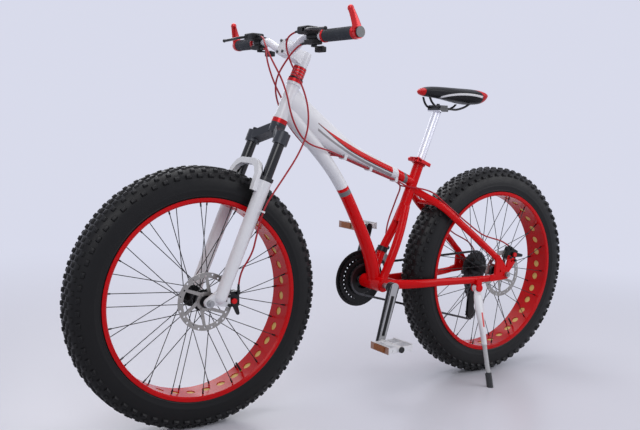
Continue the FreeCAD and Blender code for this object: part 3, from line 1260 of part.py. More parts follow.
def tooth_phase(centre, teeth):
    """Angle of a tooth midway between the chain pins that lie on a wheel."""
    radius = pitch_radius(teeth)
    on_wheel = [pin - centre for pin in CHAIN_PINS if abs((pin - centre).Length - radius) < 0.01]
    middle = on_wheel[len(on_wheel) // 2]
    return math.degrees(math.atan2(middle.z, middle.x)) + 180.0 / teeth


def chain():
    """Closed loop of inner and outer links, laid from pin to pin."""
    half = CHAIN_PITCH / 2
    eyes = (V(-half, 0, 0), V(half, 0, 0))
    inner_y = ROLLER_WIDTH / 2
    outer_y = inner_y + LINK_PLATE + 0.1
    bore = PIN_RADIUS + PIN_GAP
    size = LINK_HALF_HEIGHT

    def plates(y):
        sides = (-y - LINK_PLATE, y)
        return [strap(eyes[0], size, eyes[1], size + 0.001, low, low + LINK_PLATE) for low in sides]

    rollers = [along_y(ROLLER_RADIUS, -inner_y - 0.2, inner_y + 0.2, eye) for eye in eyes]
    inner = without(join(plates(inner_y) + rollers), [along_y(bore, -10, 10, eye) for eye in eyes])
    outside = outer_y + LINK_PLATE
    outer = join(plates(outer_y) + [along_y(PIN_RADIUS, -outside, outside, eye) for eye in eyes])
    links = []
    for index, start in enumerate(CHAIN_PINS):
        end = CHAIN_PINS[(index + 1) % CHAIN_LINKS]
        heading = math.degrees(math.atan2((end - start).z, (end - start).x))
        link = turned(outer if index % 2 else inner, heading)
        links.append(moved(link, (start + end) * 0.5 + ACROSS * CHAIN_Y))
    return links


def chainrings():
    """Three rings riveted together, with the guard ring outside them."""
    phase = tooth_phase(SHELL, RING_TEETH[0])
    rings = []
    for index, teeth in enumerate(RING_TEETH):
        rings.append(toothed_disc(teeth, CHAIN_Y + RING_STEP * index, 2.0, phase, 30.0))
    last_y = CHAIN_Y + RING_STEP * (len(RING_TEETH) - 1)
    guard_y = last_y + 6.0
    guard_bore = along_y(GUARD_RADIUS - 24, guard_y - 2, guard_y + 2)
    guard = along_y(GUARD_RADIUS, guard_y - 1, guard_y + 1).cut(guard_bore)
    holes = [along_y(2.5, last_y - 2, last_y + 2, xz(12.0 * index) * 66.0) for index in range(30)]
    rivets = []
    for index in range(5):
        rivets.append(along_y(4.5, CHAIN_Y - 1, last_y + 1, xz(72.0 * index) * 38.0))
        rivets.append(along_y(4.0, last_y - 1, guard_y + 1, xz(72.0 * index + 36) * 74.0))
    return moved(without(join(rings + [guard] + rivets), holes), SHELL)


def crank_arm(right):
    """Left-hand arm, or right-hand arm with the spider that carries the rings, and the pedal's spindle."""
    low, high = CRANK_INNER_Y, CRANK_INNER_Y + CRANK_THICKNESS
    eye = xz(90) * CRANK_LENGTH
    pieces = [strap(ORIGIN, 17, eye, 12.5, low, high), along_y(17, low - 10, high),
              along_y(AXLE_RADIUS, high - 1, high + PEDAL_GAP + PEDAL_WIDTH - 10, eye)]
    if right:
        spider_y = CHAIN_Y + RING_STEP * (len(RING_TEETH) - 1) + 1 + SEAT_GAP
        pieces += [along_y(46, spider_y, spider_y + 3), along_y(20, spider_y, low + 1)]
    arm = join(pieces).cut(along_y(SPINDLE_RADIUS + RUNNING_GAP, 40, SPINDLE_END + RUNNING_GAP))
    return turned(arm, -CRANK_ANGLE)


def pedal():
    """Platform pedal about its own spindle: barrel, cage, two reflectors and an end cap."""
    start = CRANK_INNER_Y + CRANK_THICKNESS + PEDAL_GAP
    end = start + PEDAL_WIDTH
    size = PEDAL_HALF_LENGTH
    cage = [along_y(10, start, end)]
    for sign in (-1, 1):
        cage.append(block(*sorted((sign * (size - 5), sign * size)), start + 4, end - 3, -11, 11))
    for y in (start + 4, (start + end) / 2 - 3, end - 9):
        cage.append(block(-size, size, y, y + 6, -8, 8))
    body = join(cage).cut(along_y(AXLE_RADIUS + RUNNING_GAP, start - 5, end - 5))
    lens = block(size + RUNNING_GAP, size + 4, start + 24, end - 22, -8, 8)
    return [body, along_y(9, end + RUNNING_GAP, end + 4), lens, turned(lens, 180)]


def cassette():
    phase = tooth_phase(REAR_AXLE, COG_TEETH[0])
    bore = HUB_RADIUS + RUNNING_GAP
    cogs = []
    for index, teeth in enumerate(COG_TEETH):
        cogs.append(toothed_disc(teeth, CHAIN_Y + COG_STEP * index, COG_THICKNESS, phase, bore))
    last_y = CHAIN_Y + COG_STEP * (len(COG_TEETH) - 1)
    body = along_y(20, CHAIN_Y - 1.5, last_y + 3).cut(along_y(bore, CHAIN_Y - 5, last_y + 5))
    return moved(join(cogs + [body]), REAR_AXLE)


CAGE_INNER_Y = CHAIN_Y - 5.7
CAGE_OUTER_Y = CHAIN_Y + 4.2
CAGE_PLATE = 1.5


def derailleur_cage():
    """Two plates that hold the guide wheel and the tension wheel between them."""
    pulleys = (GUIDE_PULLEY, TENSION_PULLEY)
    sides = (CAGE_INNER_Y, CAGE_OUTER_Y)
    plates = [strap(pulleys[0], 14, pulleys[1], 14.001, y, y + CAGE_PLATE) for y in sides]
    bolts = [along_y(3, CAGE_INNER_Y, CAGE_OUTER_Y + CAGE_PLATE, centre) for centre in pulleys]
    made = [join(plates + bolts)]
    for centre in pulleys:
        phase = tooth_phase(centre, PULLEY_TEETH)
        wheel = toothed_disc(PULLEY_TEETH, CHAIN_Y, 2.0, phase, 3 + RUNNING_GAP)
        boss = along_y(8, CAGE_INNER_Y + CAGE_PLATE + 0.2, CAGE_OUTER_Y - 0.2)
        boss = boss.cut(along_y(3 + RUNNING_GAP, CAGE_INNER_Y, CAGE_OUTER_Y + 5))
        made.append(moved(join([wheel, boss]), centre))
    return made


def rear_derailleur():
    """Knuckle on the hanger, the slanted body and the lower knuckle above the cage."""
    outside = REAR_DROPOUT_SPAN / 2 + FRAME_DROPOUT_THICKNESS
    knuckle = along_y(12, outside + SEAT_GAP, outside + 15, HANGER)
    bolt = along_y(4 - RUNNING_GAP, outside - FRAME_DROPOUT_THICKNESS, outside + 2, HANGER)
    low_y = CAGE_OUTER_Y + CAGE_PLATE + SEAT_GAP
    low = along_y(13, low_y, low_y + 16, GUIDE_PULLEY)
    wires = []
    corners = [V(sx * 10, sy * 6, -sy * 4) for sx, sy in ((-1, -1), (1, -1), (1, 1), (-1, 1))]
    for centre in (HANGER + V(0, outside + 7, -14), GUIDE_PULLEY + V(0, low_y + 8, 6)):
        points = [centre + corner for corner in corners]
        wires.append(Part.makePolygon(points + points[:1]))
    body = Part.makeLoft(wires, True, True)
    barrel = rod(4, DERAILLEUR_CABLE, HANGER + V(4, outside + 8, 0))
    return join([knuckle, bolt, low, body, barrel])


def front_derailleur():
    """Clamp round the right seat leg and the rod that the cage slides on."""
    seat_radius = SEAT_LEG_RADIUS + SEAT_GAP
    centre = off_line(SEAT_LEG_TOP, SHELL, FRONT_CLAMP_SHARE, -5.1) + ACROSS * 29
    heading = (SHELL - SEAT_LEG_TOP).normalize()
    band = rod(SEAT_LEG_RADIUS + 3.5, centre - heading * 8, centre + heading * 8)
    half_space = block(-200, 400, 6, 200, 200, 800)
    stations = [(share, rise, y, seat_radius, seat_radius) for share, rise, y in SEAT_LEG]
    seat = stay(SEAT_LEG_TOP, SHELL, stations, 1)
    arm = strap(V(centre.x + 12, 0, centre.z + 2), 6, CHANGER_ROD, 6, CHANGER_ROD_START - 8,
                CHANGER_ROD_START + 2)
    slider = along_y(CHANGER_ROD_RADIUS, CHANGER_ROD_START, CHANGER_ROD_END, CHANGER_ROD)
    stop = rod(4, CHANGER_CABLE, CHANGER_CABLE - V(0, 0, 20))
    return largest(join([band.common(half_space), arm, slider, stop]).cut(seat))


def front_derailleur_cage():
    """Two curved plates either side of the chain, on a sleeve that slides along the rod."""
    inner_y = CHAIN_Y - 7.0
    outer_y = CHAIN_Y + 8.5
    plate_width = 1.5
    first, last = 22.0, 60.0
    middle = (first + last) / 2
    points = [xz(first) * CHANGER_INNER, xz(middle) * CHANGER_INNER, xz(last) * CHANGER_INNER,
              xz(last) * CHANGER_OUTER, xz(middle) * CHANGER_OUTER, xz(first) * CHANGER_OUTER]
    pieces = []
    for y in (inner_y, outer_y):
        corners = [point + ACROSS * y for point in points]
        edges = [Part.Arc(*corners[:3]).toShape(), Part.LineSegment(corners[2], corners[3]).toShape(),
                 Part.Arc(*corners[3:]).toShape(), Part.LineSegment(corners[5], corners[0]).toShape()]
        pieces.append(moved(Part.Face(Part.Wire(edges)).extrude(ACROSS * plate_width), SHELL))
    top = outer_y + plate_width
    bridge_end = SHELL + xz(last - 5) * (CHANGER_OUTER - 4)
    pieces.append(strap(CHANGER_ROD, 6, bridge_end, 3.5, inner_y, top))
    return join(pieces).cut(along_y(CHANGER_ROD_RADIUS + RUNNING_GAP, inner_y - 5, top + 5, CHANGER_ROD))


def build_drivetrain():
    save("chain", *chain())
    save("chainrings", chainrings())
    save("crank_axle", along_y(SPINDLE_RADIUS, -SPINDLE_END, SPINDLE_END, SHELL))
    right = crank_arm(True)
    left = turned(mirrored(crank_arm(False)), 180)
    save("crank_arm_right", moved(right, SHELL))
    save("crank_arm_left", moved(left, SHELL))
    eye = xz(90 - CRANK_ANGLE) * CRANK_LENGTH
    save("pedal_right", *[moved(piece, SHELL + eye) for piece in pedal()])
    save("pedal_left", *[moved(mirrored(piece), SHELL - eye) for piece in pedal()])
    save("cassette", cassette())
    save("rear_derailleur", rear_derailleur())
    save("rear_derailleur_cage", *derailleur_cage())
    save("front_derailleur", front_derailleur())
    save("front_derailleur_cage", front_derailleur_cage())


# Side stand
def build_stand():
    axis = V(0, math.cos(math.radians(STAND_TILT)), -math.sin(math.radians(STAND_TILT)))
    lift = V(1, 0, 0).cross(axis)
    foot = V(STAND_X, STAND_FOOT_Y, 0)
    down = (foot - STAND_PIVOT).normalize()
    stay_share = (STAND_X - SHELL_X) / (REAR_AXLE.x - SHELL_X)
    stay_middle = off_line(SHELL, REAR_AXLE, stay_share, -10.3)
    half = 9.0
    cheek = 6.0
    base = STAND_PIVOT + lift * 13

    def cheek_plate(start, end):
        return rod(13, STAND_PIVOT + axis * start, STAND_PIVOT + axis * end)

    saddle_block = block(STAND_X - 12, STAND_X + 12, STAND_Y - half - cheek + 4, STAND_Y + half + cheek + 2,
                         base.z - 6, stay_middle.z + 2)
    seat_stations = []
    for share, rise, y, high, wide in CHAIN_STAY:
        seat_stations.append((share, rise, y, high + WELD_GAP, wide + WELD_GAP))
    stay_solid = stay(SHELL, REAR_AXLE, seat_stations, -1)
    pocket = rod(18.5, STAND_PIVOT - axis * (half + 0.3), STAND_PIVOT + axis * (half + 0.3))
    pin = rod(STAND_PIN_RADIUS, STAND_PIVOT - axis * (half + cheek), STAND_PIVOT + axis * (half + cheek))
    cheeks = [cheek_plate(half + 0.3, half + cheek), cheek_plate(-half - cheek, -half - 0.3)]
    mount = without(join([saddle_block] + cheeks), [stay_solid, pocket])
    save("kickstand_mount", largest(join([mount, pin])))

    eye = rod(13, STAND_PIVOT - axis * half, STAND_PIVOT + axis * half)
    side = V(1, 0, 0)
    body_stations = [(0.02, 11.5, 8), (0.12, 18.5, 9), (0.3, 15, 10), (0.58, 10, 9)]
    wires = []
    for share, half_x, half_y in body_stations:
        centre = STAND_PIVOT + (foot - STAND_PIVOT) * share
        out = down.cross(side).normalize()
        corners = []
        for step in range(12):
            angle = math.tau * step / 12
            corners.append(centre + side * (half_x * math.cos(angle)) + out * (half_y * math.sin(angle)))
        curve = Part.BSplineCurve()
        curve.interpolate(Points=corners, PeriodicFlag=True)
        wires.append(Part.Wire(curve.toShape()))
    body = Part.makeLoft(wires, True, False)
    length = (foot - STAND_PIVOT).Length
    shank = rod(7.5, STAND_PIVOT + down * (0.56 * length), STAND_PIVOT + down * (0.9 * length))
    shoe = rod(11, STAND_PIVOT + down * (0.86 * length), STAND_PIVOT + down * (1.05 * length))
    ground = block(STAND_X - 100, STAND_X + 100, STAND_FOOT_Y - 100, 0, -60, 0)
    tools = [rod(STAND_PIN_RADIUS + RUNNING_GAP, STAND_PIVOT - axis * 40, STAND_PIVOT + axis * 40)]
    for sign in (-1, 1):
        tools.append(rod(24, STAND_PIVOT + axis * (sign * half), STAND_PIVOT + axis * (sign * 30)))
    leg = without(join([eye, body, shank]), tools)
    socket = rod(7.5 + RUNNING_GAP, STAND_PIVOT + down * (0.5 * length),
                 STAND_PIVOT + down * (0.9 * length + RUNNING_GAP))
    save("kickstand_leg", largest(leg), without(shoe, [ground, socket]))


# Cables, each along the points of its route
def build_cables():
    start = bar_place(-1, POD_CABLE)
    stop = caliper_point(CALIPER_STOP, FRONT_AXLE, FRONT_ROTOR_Y, FRONT_CALIPER_ANGLE)
    front_route = [
        start + V(0, CABLE_SEAT, 0), start + V(-6, 34, -3), V(-324, -50, 1057), V(-302, -48, 1004),
        V(-274, -64, 950), V(-262, -79, 895), V(-263, -87, 842), V(-276, -90, 798), V(-302, -92, 751),
        V(-337, -95, 705), V(-371, -98, 662), FORK_CLIP_RUN[0], FORK_CLIP_RUN[1], V(-427, -100, 540),
        V(-436, -95, 490), stop + V(-2, -4, 44), stop + V(0, 0, CABLE_SEAT)]
    save("front_brake_cable", cable("front brake cable", front_route))

    under = [cable_station(share) for share in CABLE_SHARES]
    seat_side = [
        (158, 17, 660), (190, 28, 656), (220, 36, 651), (250, 45, 641), (284, 58, 611), (314, 65, 588),
        (345, 69, 566), (392, 76, 533), (440, 83, 501)]
    rear_stop = caliper_point(CALIPER_STOP, REAR_AXLE, REAR_ROTOR_Y, REAR_CALIPER_ANGLE)
    out = xz(REAR_CALIPER_ANGLE + 90)
    start = bar_place(1, POD_CABLE)
    brake_route = [
        start - V(0, CABLE_SEAT, 0), start - V(6, 32, 3), V(-334, 42, 1058), V(-328, 8, 1012),
        V(-314, -20, 966), V(-304, -36, 920), V(-297, -44, 875), V(-284, -46, 842), V(-262, -44, 810),
        V(-236, -40, 791), V(-206, -36, 780), V(-174, -31, 774), V(-142, -26, 766)]
    brake_route += [point - ACROSS * CABLE_PITCH for point in under]
    brake_route += [V(x, -y, z) for x, y, z in seat_side]
    brake_route += [V(478, -88, 489), rear_stop + out * 40 + V(0, 0, 6), rear_stop + out * CABLE_SEAT]

    start = bar_place(1, SHIFT_CABLE)
    gear_route = [
        start - V(0, CABLE_SEAT, 0), start - V(3, 28, 3), V(-318, 58, 1020), V(-308, 44, 970),
        V(-281, 40, 918), V(-246, 38, 872), V(-212, 34, 830), V(-178, 31, 795), V(-142, 28, 768)]
    gear_route += [point + ACROSS * CABLE_PITCH for point in under]
    gear_route += [V(x, y, z) for x, y, z in seat_side]
    outside = REAR_DROPOUT_SPAN / 2 + FRAME_DROPOUT_THICKNESS + 8
    barrel = (DERAILLEUR_CABLE - HANGER - V(4, outside, 0)).normalize()
    gear_route += [V(484, 96, 478), V(530, 108, 462), V(578, outside + 1, 440), V(612, outside + 1, 400),
                   DERAILLEUR_CABLE + barrel * 30 + V(0, 0, 10), DERAILLEUR_CABLE + barrel * CABLE_SEAT]

    start = bar_place(-1, SHIFT_CABLE)
    changer_route = [
        start + V(0, CABLE_SEAT, 0), start + V(-3, 27, -3), V(-326, -60, 1010), V(-330, -20, 968),
        V(-314, 14, 930), V(-290, 32, 888), V(-260, 35, 844), V(-226, 33, 805), V(-186, 31, 771),
        V(-146, 24, 753)]
    changer_route += under
    changer_route += [V(156, 11, 652), V(159, 30, 624), V(157, 45, 588), V(146, 51, 550), V(135, 49, 512),
                      CHANGER_CABLE + V(0, 0, CABLE_SEAT)]
    save("control_cables", cable("rear brake cable", brake_route), cable("rear gear cable", gear_route),
         cable("front gear cable", changer_route))


os.makedirs("parts", exist_ok=True)
build_frame()
build_front()
build_wheels()
build_brakes()
build_seat()
build_drivetrain()
build_stand()
build_cables()
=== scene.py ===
# %% [markdown]
# This lesson dresses a fat tyre mountain bike. The frame tubes, wheels, fork and gears come from the packed
# CAD model, and everything soft, moulded or sewn is modelled here, then each surface gets its own finish.

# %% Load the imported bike
import math

import bmesh
import bpy
from mathutils import Matrix, Vector


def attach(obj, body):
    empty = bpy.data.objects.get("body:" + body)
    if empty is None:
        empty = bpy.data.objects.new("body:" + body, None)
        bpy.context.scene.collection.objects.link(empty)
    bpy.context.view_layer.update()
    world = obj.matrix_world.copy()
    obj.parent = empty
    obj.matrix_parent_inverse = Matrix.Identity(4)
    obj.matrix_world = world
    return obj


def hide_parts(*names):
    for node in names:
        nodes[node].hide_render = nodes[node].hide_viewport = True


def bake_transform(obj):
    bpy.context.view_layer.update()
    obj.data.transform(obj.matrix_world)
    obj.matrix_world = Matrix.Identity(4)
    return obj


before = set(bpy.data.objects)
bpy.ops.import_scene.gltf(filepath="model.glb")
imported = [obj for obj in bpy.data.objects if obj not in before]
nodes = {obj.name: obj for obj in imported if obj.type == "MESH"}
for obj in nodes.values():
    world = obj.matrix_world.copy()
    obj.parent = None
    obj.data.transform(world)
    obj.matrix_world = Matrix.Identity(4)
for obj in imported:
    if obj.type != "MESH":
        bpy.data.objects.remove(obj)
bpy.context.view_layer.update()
scene = bpy.context.scene

# %% [markdown]
# The places below are measured on the bike in metres: the bike faces -X, its chain is on the +Y side, and
# the ground is at zero. Pieces made later sit on these axles, tubes and bars.

# %% Places on the bike
FRONT_AXLE = Vector((-0.5515, 0.0, 0.361))
REAR_AXLE = Vector((0.5515, 0.0, 0.361))
SHELL = Vector((0.057, 0.0, 0.354))
HEAD_BASE = Vector((-0.3050, 0.0, 0.8469))
HEAD_UP = Vector((0.38107, 0.0, 0.92455))
HEAD_BACK = Vector((0.92455, 0.0, -0.38107))
POST_HEAD = Vector((0.28635, 0.0, 0.90609))
POST_UP = Vector((0.36162, 0.0, 0.93232))
BAR_INNER = Vector((-0.29214, 0.092, 1.07182))
BAR_OUTER = Vector((-0.27314, 0.320, 1.07482))
CHAIN_Y = 0.0575
FRONT_BRAKE_PIVOT = Vector((-0.4764, -0.0688, 0.3596))
REAR_BRAKE_PIVOT = Vector((0.5880, -0.0968, 0.4267))
SPACER_BASE, SPACER_HEIGHT = 0.1303, 0.0089
CRANK_RUN = Vector((-0.2488, 0.0, -0.9688))
CRANK_ACROSS = Vector((0.9688, 0.0, -0.2488))
print("wheelbase", round((REAR_AXLE - FRONT_AXLE).length, 3), "m")

# %% [markdown]
# The camera repeats the photograph's view. Its angle, distance and lens were fitted to the hubs, rims, tyre
# outlines and the stand's foot, so the picture's frame is a crop with a small shift, and a slight roll.

# %% Camera
AZIMUTH, ELEVATION, ROLL = (math.radians(angle) for angle in (-36.674, 8.985, 2.391))
AIM = Vector((0.0, 0.0, 0.45))
DISTANCE = 2.5252
# Focal length and the shift of the picture, in pixels of a picture 640 wide
PICTURE_WIDTH, FOCAL_LENGTH, SHIFT_ACROSS, SHIFT_UP = 640, 808.7, -40.75, 38.8
SENSOR_WIDTH = 36.0
back = Vector((math.sin(AZIMUTH) * math.cos(ELEVATION), -math.cos(AZIMUTH) * math.cos(ELEVATION),
               math.sin(ELEVATION)))
side = Vector((math.cos(AZIMUTH), math.sin(AZIMUTH), 0.0))
rise = back.cross(side)
rolled_side = side * math.cos(ROLL) + rise * math.sin(ROLL)
rolled_rise = rise * math.cos(ROLL) - side * math.sin(ROLL)
lens = bpy.data.cameras.new("photo_camera")
lens.sensor_fit = "HORIZONTAL"
lens.sensor_width = SENSOR_WIDTH
lens.lens = FOCAL_LENGTH / PICTURE_WIDTH * SENSOR_WIDTH
lens.shift_x = SHIFT_ACROSS / PICTURE_WIDTH
lens.shift_y = SHIFT_UP / PICTURE_WIDTH
camera = bpy.data.objects.new("photo_camera", lens)
scene.collection.objects.link(camera)
turn = Matrix((rolled_side, rolled_rise, back)).transposed()
camera.matrix_world = Matrix.Translation(AIM + back * DISTANCE) @ turn.to_4x4()
scene.camera = camera
print("camera at", [round(value, 3) for value in camera.location])

# %% [markdown]
# Every surface is a small node graph on Object coordinates, so a pattern stays put on the bike and has its
# real size in metres. These helpers build such graphs. A finish gets a little mottling in its colour, an
# uneven gloss and a fine grain, because no real paint, rubber or metal is one flat colour.


# %% Helpers for finishes
def put(tree, kind, sockets=None, **settings):
    """Adds a shader node, sets its options and its sockets, and returns its first output if it has one."""
    made = tree.nodes.new("ShaderNode" + kind)
    for key, value in settings.items():
        setattr(made, key, value)
    for key, value in (sockets or {}).items():
        if isinstance(value, bpy.types.NodeSocket):
            tree.links.new(value, made.inputs[key])
        else:
            made.inputs[key].default_value = value
    return made.outputs[0] if made.outputs else None


def maths(tree, operation, first, second=0.0, third=0.0):
    return put(tree, "Math", {0: first, 1: second, 2: third}, operation=operation)


def step_up(tree, value, start, end):
    """0 below the start, 1 above the end, smooth between them."""
    return put(tree, "MapRange", {0: value, 1: start, 2: end}, interpolation_type="SMOOTHSTEP")


def step_down(tree, value, start, end):
    """1 below the start, 0 above the end, smooth between them."""
    return maths(tree, "SUBTRACT", 1.0, step_up(tree, value, start, end))


def between(tree, value, low, high, soft=0.0008):
    """1 inside a band of values, 0 outside it."""
    return maths(tree, "MULTIPLY", step_up(tree, value, low - soft, low + soft),
                 step_down(tree, value, high - soft, high + soft))


def noise(tree, coords, scale, detail=3.0):
    return put(tree, "TexNoise", {"Vector": coords, "Scale": scale, "Detail": detail})


def mix(tree, share, first, second, blend="MIX"):
    """Colour between two colours, or their blend of another kind."""
    made = tree.nodes.new("ShaderNodeMix")
    made.data_type = "RGBA"
    made.blend_type = blend
    for index, value in ((0, share), (6, first), (7, second)):
        if isinstance(value, bpy.types.NodeSocket):
            tree.links.new(value, made.inputs[index])
        else:
            made.inputs[index].default_value = value if index == 0 else (*value[:3], 1.0)
    return made.outputs[2]


def axes(tree, coords):
    """The X, Y and Z of a place on the bike."""
    made = tree.nodes.new("ShaderNodeSeparateXYZ")
    tree.links.new(coords, made.inputs[0])
    return made.outputs


def dot(tree, first, second):
    """Dot product of two vectors."""
    made = tree.nodes.new("ShaderNodeVectorMath")
    made.operation = "DOT_PRODUCT"
    tree.links.new(first, made.inputs[0])
    if isinstance(second, bpy.types.NodeSocket):
        tree.links.new(second, made.inputs[1])
    else:
        made.inputs[1].default_value = second
    return made.outputs["Value"]


def size_of(tree, vector):
    """Length of a vector."""
    made = tree.nodes.new("ShaderNodeVectorMath")
    made.operation = "LENGTH"
    tree.links.new(vector, made.inputs[0])
    return made.outputs["Value"]


def seen_from(tree, coords, origin):
    """Place measured from another point."""
    return put(tree, "VectorMath", {0: coords, 1: tuple(origin)}, operation="SUBTRACT")


def along(tree, coords, direction, origin=(0.0, 0.0, 0.0)):
    """Distance along a direction from a point."""
    return dot(tree, seen_from(tree, coords, origin), tuple(Vector(direction).normalized()))


def from_axle(tree, coords, axle):
    """Distance from a wheel's axle, which runs across the bike."""
    spot = seen_from(tree, coords, axle)
    return size_of(tree, put(tree, "VectorMath", {0: spot, 1: (1.0, 0.0, 1.0)}, operation="MULTIPLY"))


# Patches of colour and smears of gloss per metre, and the share of the grain that shows
PATCH_SCALE, SMEAR_SCALE, BUMP_STRENGTH = 9.0, 38.0, 0.6
COAT_ROUGHNESS = 0.06


def finish(name, colour, roughness=0.4, spread=0.08, metallic=0.0, coat=0.0, grain=700.0, depth=0.00004,
           mottling=0.10, stretch=(1.0, 1.0, 1.0), specular=0.5):
    """A finish with mottled colour, uneven gloss and a fine grain. Colour may be a function of the graph."""
    made = bpy.data.materials.new(name)
    made.use_nodes = True
    tree = made.node_tree
    shader = tree.nodes["Principled BSDF"]
    coords = tree.nodes.new("ShaderNodeTexCoord").outputs["Object"]
    base = colour(tree, coords) if callable(colour) else colour
    patches = noise(tree, coords, PATCH_SCALE, 5.0)
    dark = put(tree, "MapRange", {0: patches, 1: 0.3, 2: 0.7, 3: 1.0 - mottling, 4: 1.0 + 0.4 * mottling})
    shade = put(tree, "CombineColor", {0: dark, 1: dark, 2: dark})
    tree.links.new(mix(tree, 1.0, base, shade, "MULTIPLY"), shader.inputs["Base Color"])
    fine = put(tree, "VectorMath", {0: coords, 1: stretch}, operation="MULTIPLY")
    grains = noise(tree, fine, grain, 2.0)
    smears = noise(tree, coords, SMEAR_SCALE, 4.0)
    gloss = put(tree, "MapRange", {0: smears, 1: 0.25, 2: 0.75, 3: roughness - spread,
                                   4: roughness + spread})
    tree.links.new(gloss, shader.inputs["Roughness"])
    bump = put(tree, "Bump", {"Height": grains, "Strength": BUMP_STRENGTH, "Distance": depth})
    tree.links.new(bump, shader.inputs["Normal"])
    shader.inputs["Metallic"].default_value = metallic
    shader.inputs["Coat Weight"].default_value = coat
    shader.inputs["Coat Roughness"].default_value = COAT_ROUGHNESS
    shader.inputs["Specular IOR Level"].default_value = specular
    return made


# %% [markdown]
# A studio sweep is a pale floor that fades into a pale backdrop. Here the floor near the bike is lit, so it
# keeps the shadow, and further out it fades to the backdrop's own colour. Large soft lamps give long, gentle
# highlights along the tubes, as in a product photograph. The backdrop's colour is seen by the camera and in
# reflections only, and a weaker daylight fills the shadows.

# %% Floor, backdrop and lamps
BACKDROP = (0.690, 0.708, 0.830)
FLOOR = (0.60, 0.60, 0.675)
FADE_START, FADE_END = 1.1, 3.2
DAYLIGHT, DAYLIGHT_STRENGTH = (0.95, 0.96, 1.0), 0.32


def plain_object(name, bm):
    """Turns a bmesh into an object at the origin."""
    mesh = bpy.data.meshes.new(name)
    bm.to_mesh(mesh)
    bm.free()
    made = bpy.data.objects.new(name, mesh)
    scene.collection.objects.link(made)
    return made


bm = bmesh.new()
bmesh.ops.create_circle(bm, cap_ends=True, segments=96, radius=30.0)
floor = plain_object("studio_floor", bm)
floor_finish = bpy.data.materials.new("studio_floor")
floor_finish.use_nodes = True
tree = floor_finish.node_tree
tree.nodes.clear()
reach = size_of(tree, tree.nodes.new("ShaderNodeTexCoord").outputs["Object"])
fade = step_up(tree, reach, FADE_START, FADE_END)
lit = put(tree, "BsdfPrincipled", {"Base Color": (*FLOOR, 1.0), "Roughness": 0.30,
                                   "Specular IOR Level": 0.30})
glow = put(tree, "Emission", {"Color": (*BACKDROP, 1.0)})
put(tree, "OutputMaterial", {"Surface": put(tree, "MixShader", {0: fade, 1: lit, 2: glow})})
floor.data.materials.append(floor_finish)

world = bpy.data.worlds.new("studio")
world.use_nodes = True
scene.world = world
tree = world.node_tree
tree.nodes.clear()
rays = tree.nodes.new("ShaderNodeLightPath").outputs
seen = maths(tree, "MAXIMUM", rays["Is Camera Ray"], rays["Is Transmission Ray"])
seen = maths(tree, "MAXIMUM", seen, rays["Is Glossy Ray"])
light = put(tree, "Background", {"Color": (*DAYLIGHT, 1.0), "Strength": DAYLIGHT_STRENGTH})
shown = put(tree, "Background", {"Color": (*BACKDROP, 1.0)})
put(tree, "OutputWorld", {"Surface": put(tree, "MixShader", {0: seen, 1: light, 2: shown})})


def soft_box(name, place, target, size, power):
    """Large square lamp aimed at a point."""
    lamp = bpy.data.lights.new(name, "AREA")
    lamp.shape = "SQUARE"
    lamp.size = size
    lamp.energy = power
    made = bpy.data.objects.new(name, lamp)
    scene.collection.objects.link(made)
    aim = (Vector(place) - Vector(target)).to_track_quat("Z", "Y").to_matrix().to_4x4()
    made.matrix_world = Matrix.Translation(Vector(place)) @ aim
    return made


soft_box("key_lamp", (-2.2, -2.6, 3.0), (0.0, 0.0, 0.5), 2.2, 48.0)
soft_box("fill_lamp", (2.6, -2.4, 2.0), (0.1, 0.0, 0.5), 2.4, 46.0)
soft_box("top_lamp", (0.0, 0.3, 3.6), (0.0, 0.0, 0.4), 2.6, 58.0)
soft_box("back_lamp", (0.6, 3.0, 2.2), (0.0, 0.0, 0.5), 2.2, 32.0)
scene.view_settings.view_transform = "Standard"
print("floor, backdrop and", len(bpy.data.lights), "lamps")

# %% [markdown]
# The bike's own colours: gloss red and white paint, black fittings, dark fork legs, bright alloy, plain
# steel and black rubber. Colours are written as linear values.

# %% Colours
RED = (0.58, 0.0018, 0.0035)
WHITE = (0.70, 0.70, 0.735)
GREY = (0.16, 0.16, 0.17)
BLACK = (0.006, 0.006, 0.007)
SILVER = (0.70, 0.70, 0.72)
STEEL = (0.36, 0.36, 0.37)
AMBER = (0.70, 0.47, 0.14)
# Paint flows out almost flat: waves of 6 mm, a few thousandths of a millimetre deep
PAINT = {"grain": 160.0, "depth": 0.000005}

red_paint = finish("red_paint", RED, 0.16, 0.04, specular=0.14, **PAINT)
white_paint = finish("white_paint", WHITE, 0.26, 0.05, coat=0.15, mottling=0.05, **PAINT)
black_paint = finish("black_paint", BLACK, 0.34, 0.08, grain=900.0, specular=0.3)
black_plastic = finish("black_plastic", (0.009, 0.009, 0.010), 0.48, 0.1, grain=2200.0, depth=0.00008,
                       specular=0.25)
rim_paint = finish("rim_paint", (0.50, 0.002, 0.004), 0.2, 0.05, specular=0.15, **PAINT)
red_alloy = finish("red_alloy", (0.50, 0.006, 0.010), 0.3, 0.06, metallic=0.6, grain=600.0)
bright_alloy = finish("bright_alloy", (0.74, 0.74, 0.80), 0.38, 0.05, grain=400.0, depth=0.000001,
                      mottling=0.05)
plain_steel = finish("plain_steel", STEEL, 0.36, 0.1, metallic=0.9, grain=500.0, depth=0.00001)
dark_steel = finish("dark_steel", (0.035, 0.035, 0.038), 0.38, 0.1, metallic=0.6, grain=500.0, specular=0.3)
gunmetal = finish("gunmetal", (0.036, 0.039, 0.046), 0.34, 0.07, metallic=0.3, grain=900.0, specular=0.4)
fork_chrome = finish("fork_chrome", (0.006, 0.006, 0.007), 0.10, 0.03, coat=0.35, grain=300.0,
                     depth=0.000004, specular=0.3)
spoke_black = finish("spoke_black", (0.010, 0.010, 0.011), 0.35, 0.08, metallic=0.2, grain=900.0,
                     specular=0.35)
print("finishes", len(bpy.data.materials))

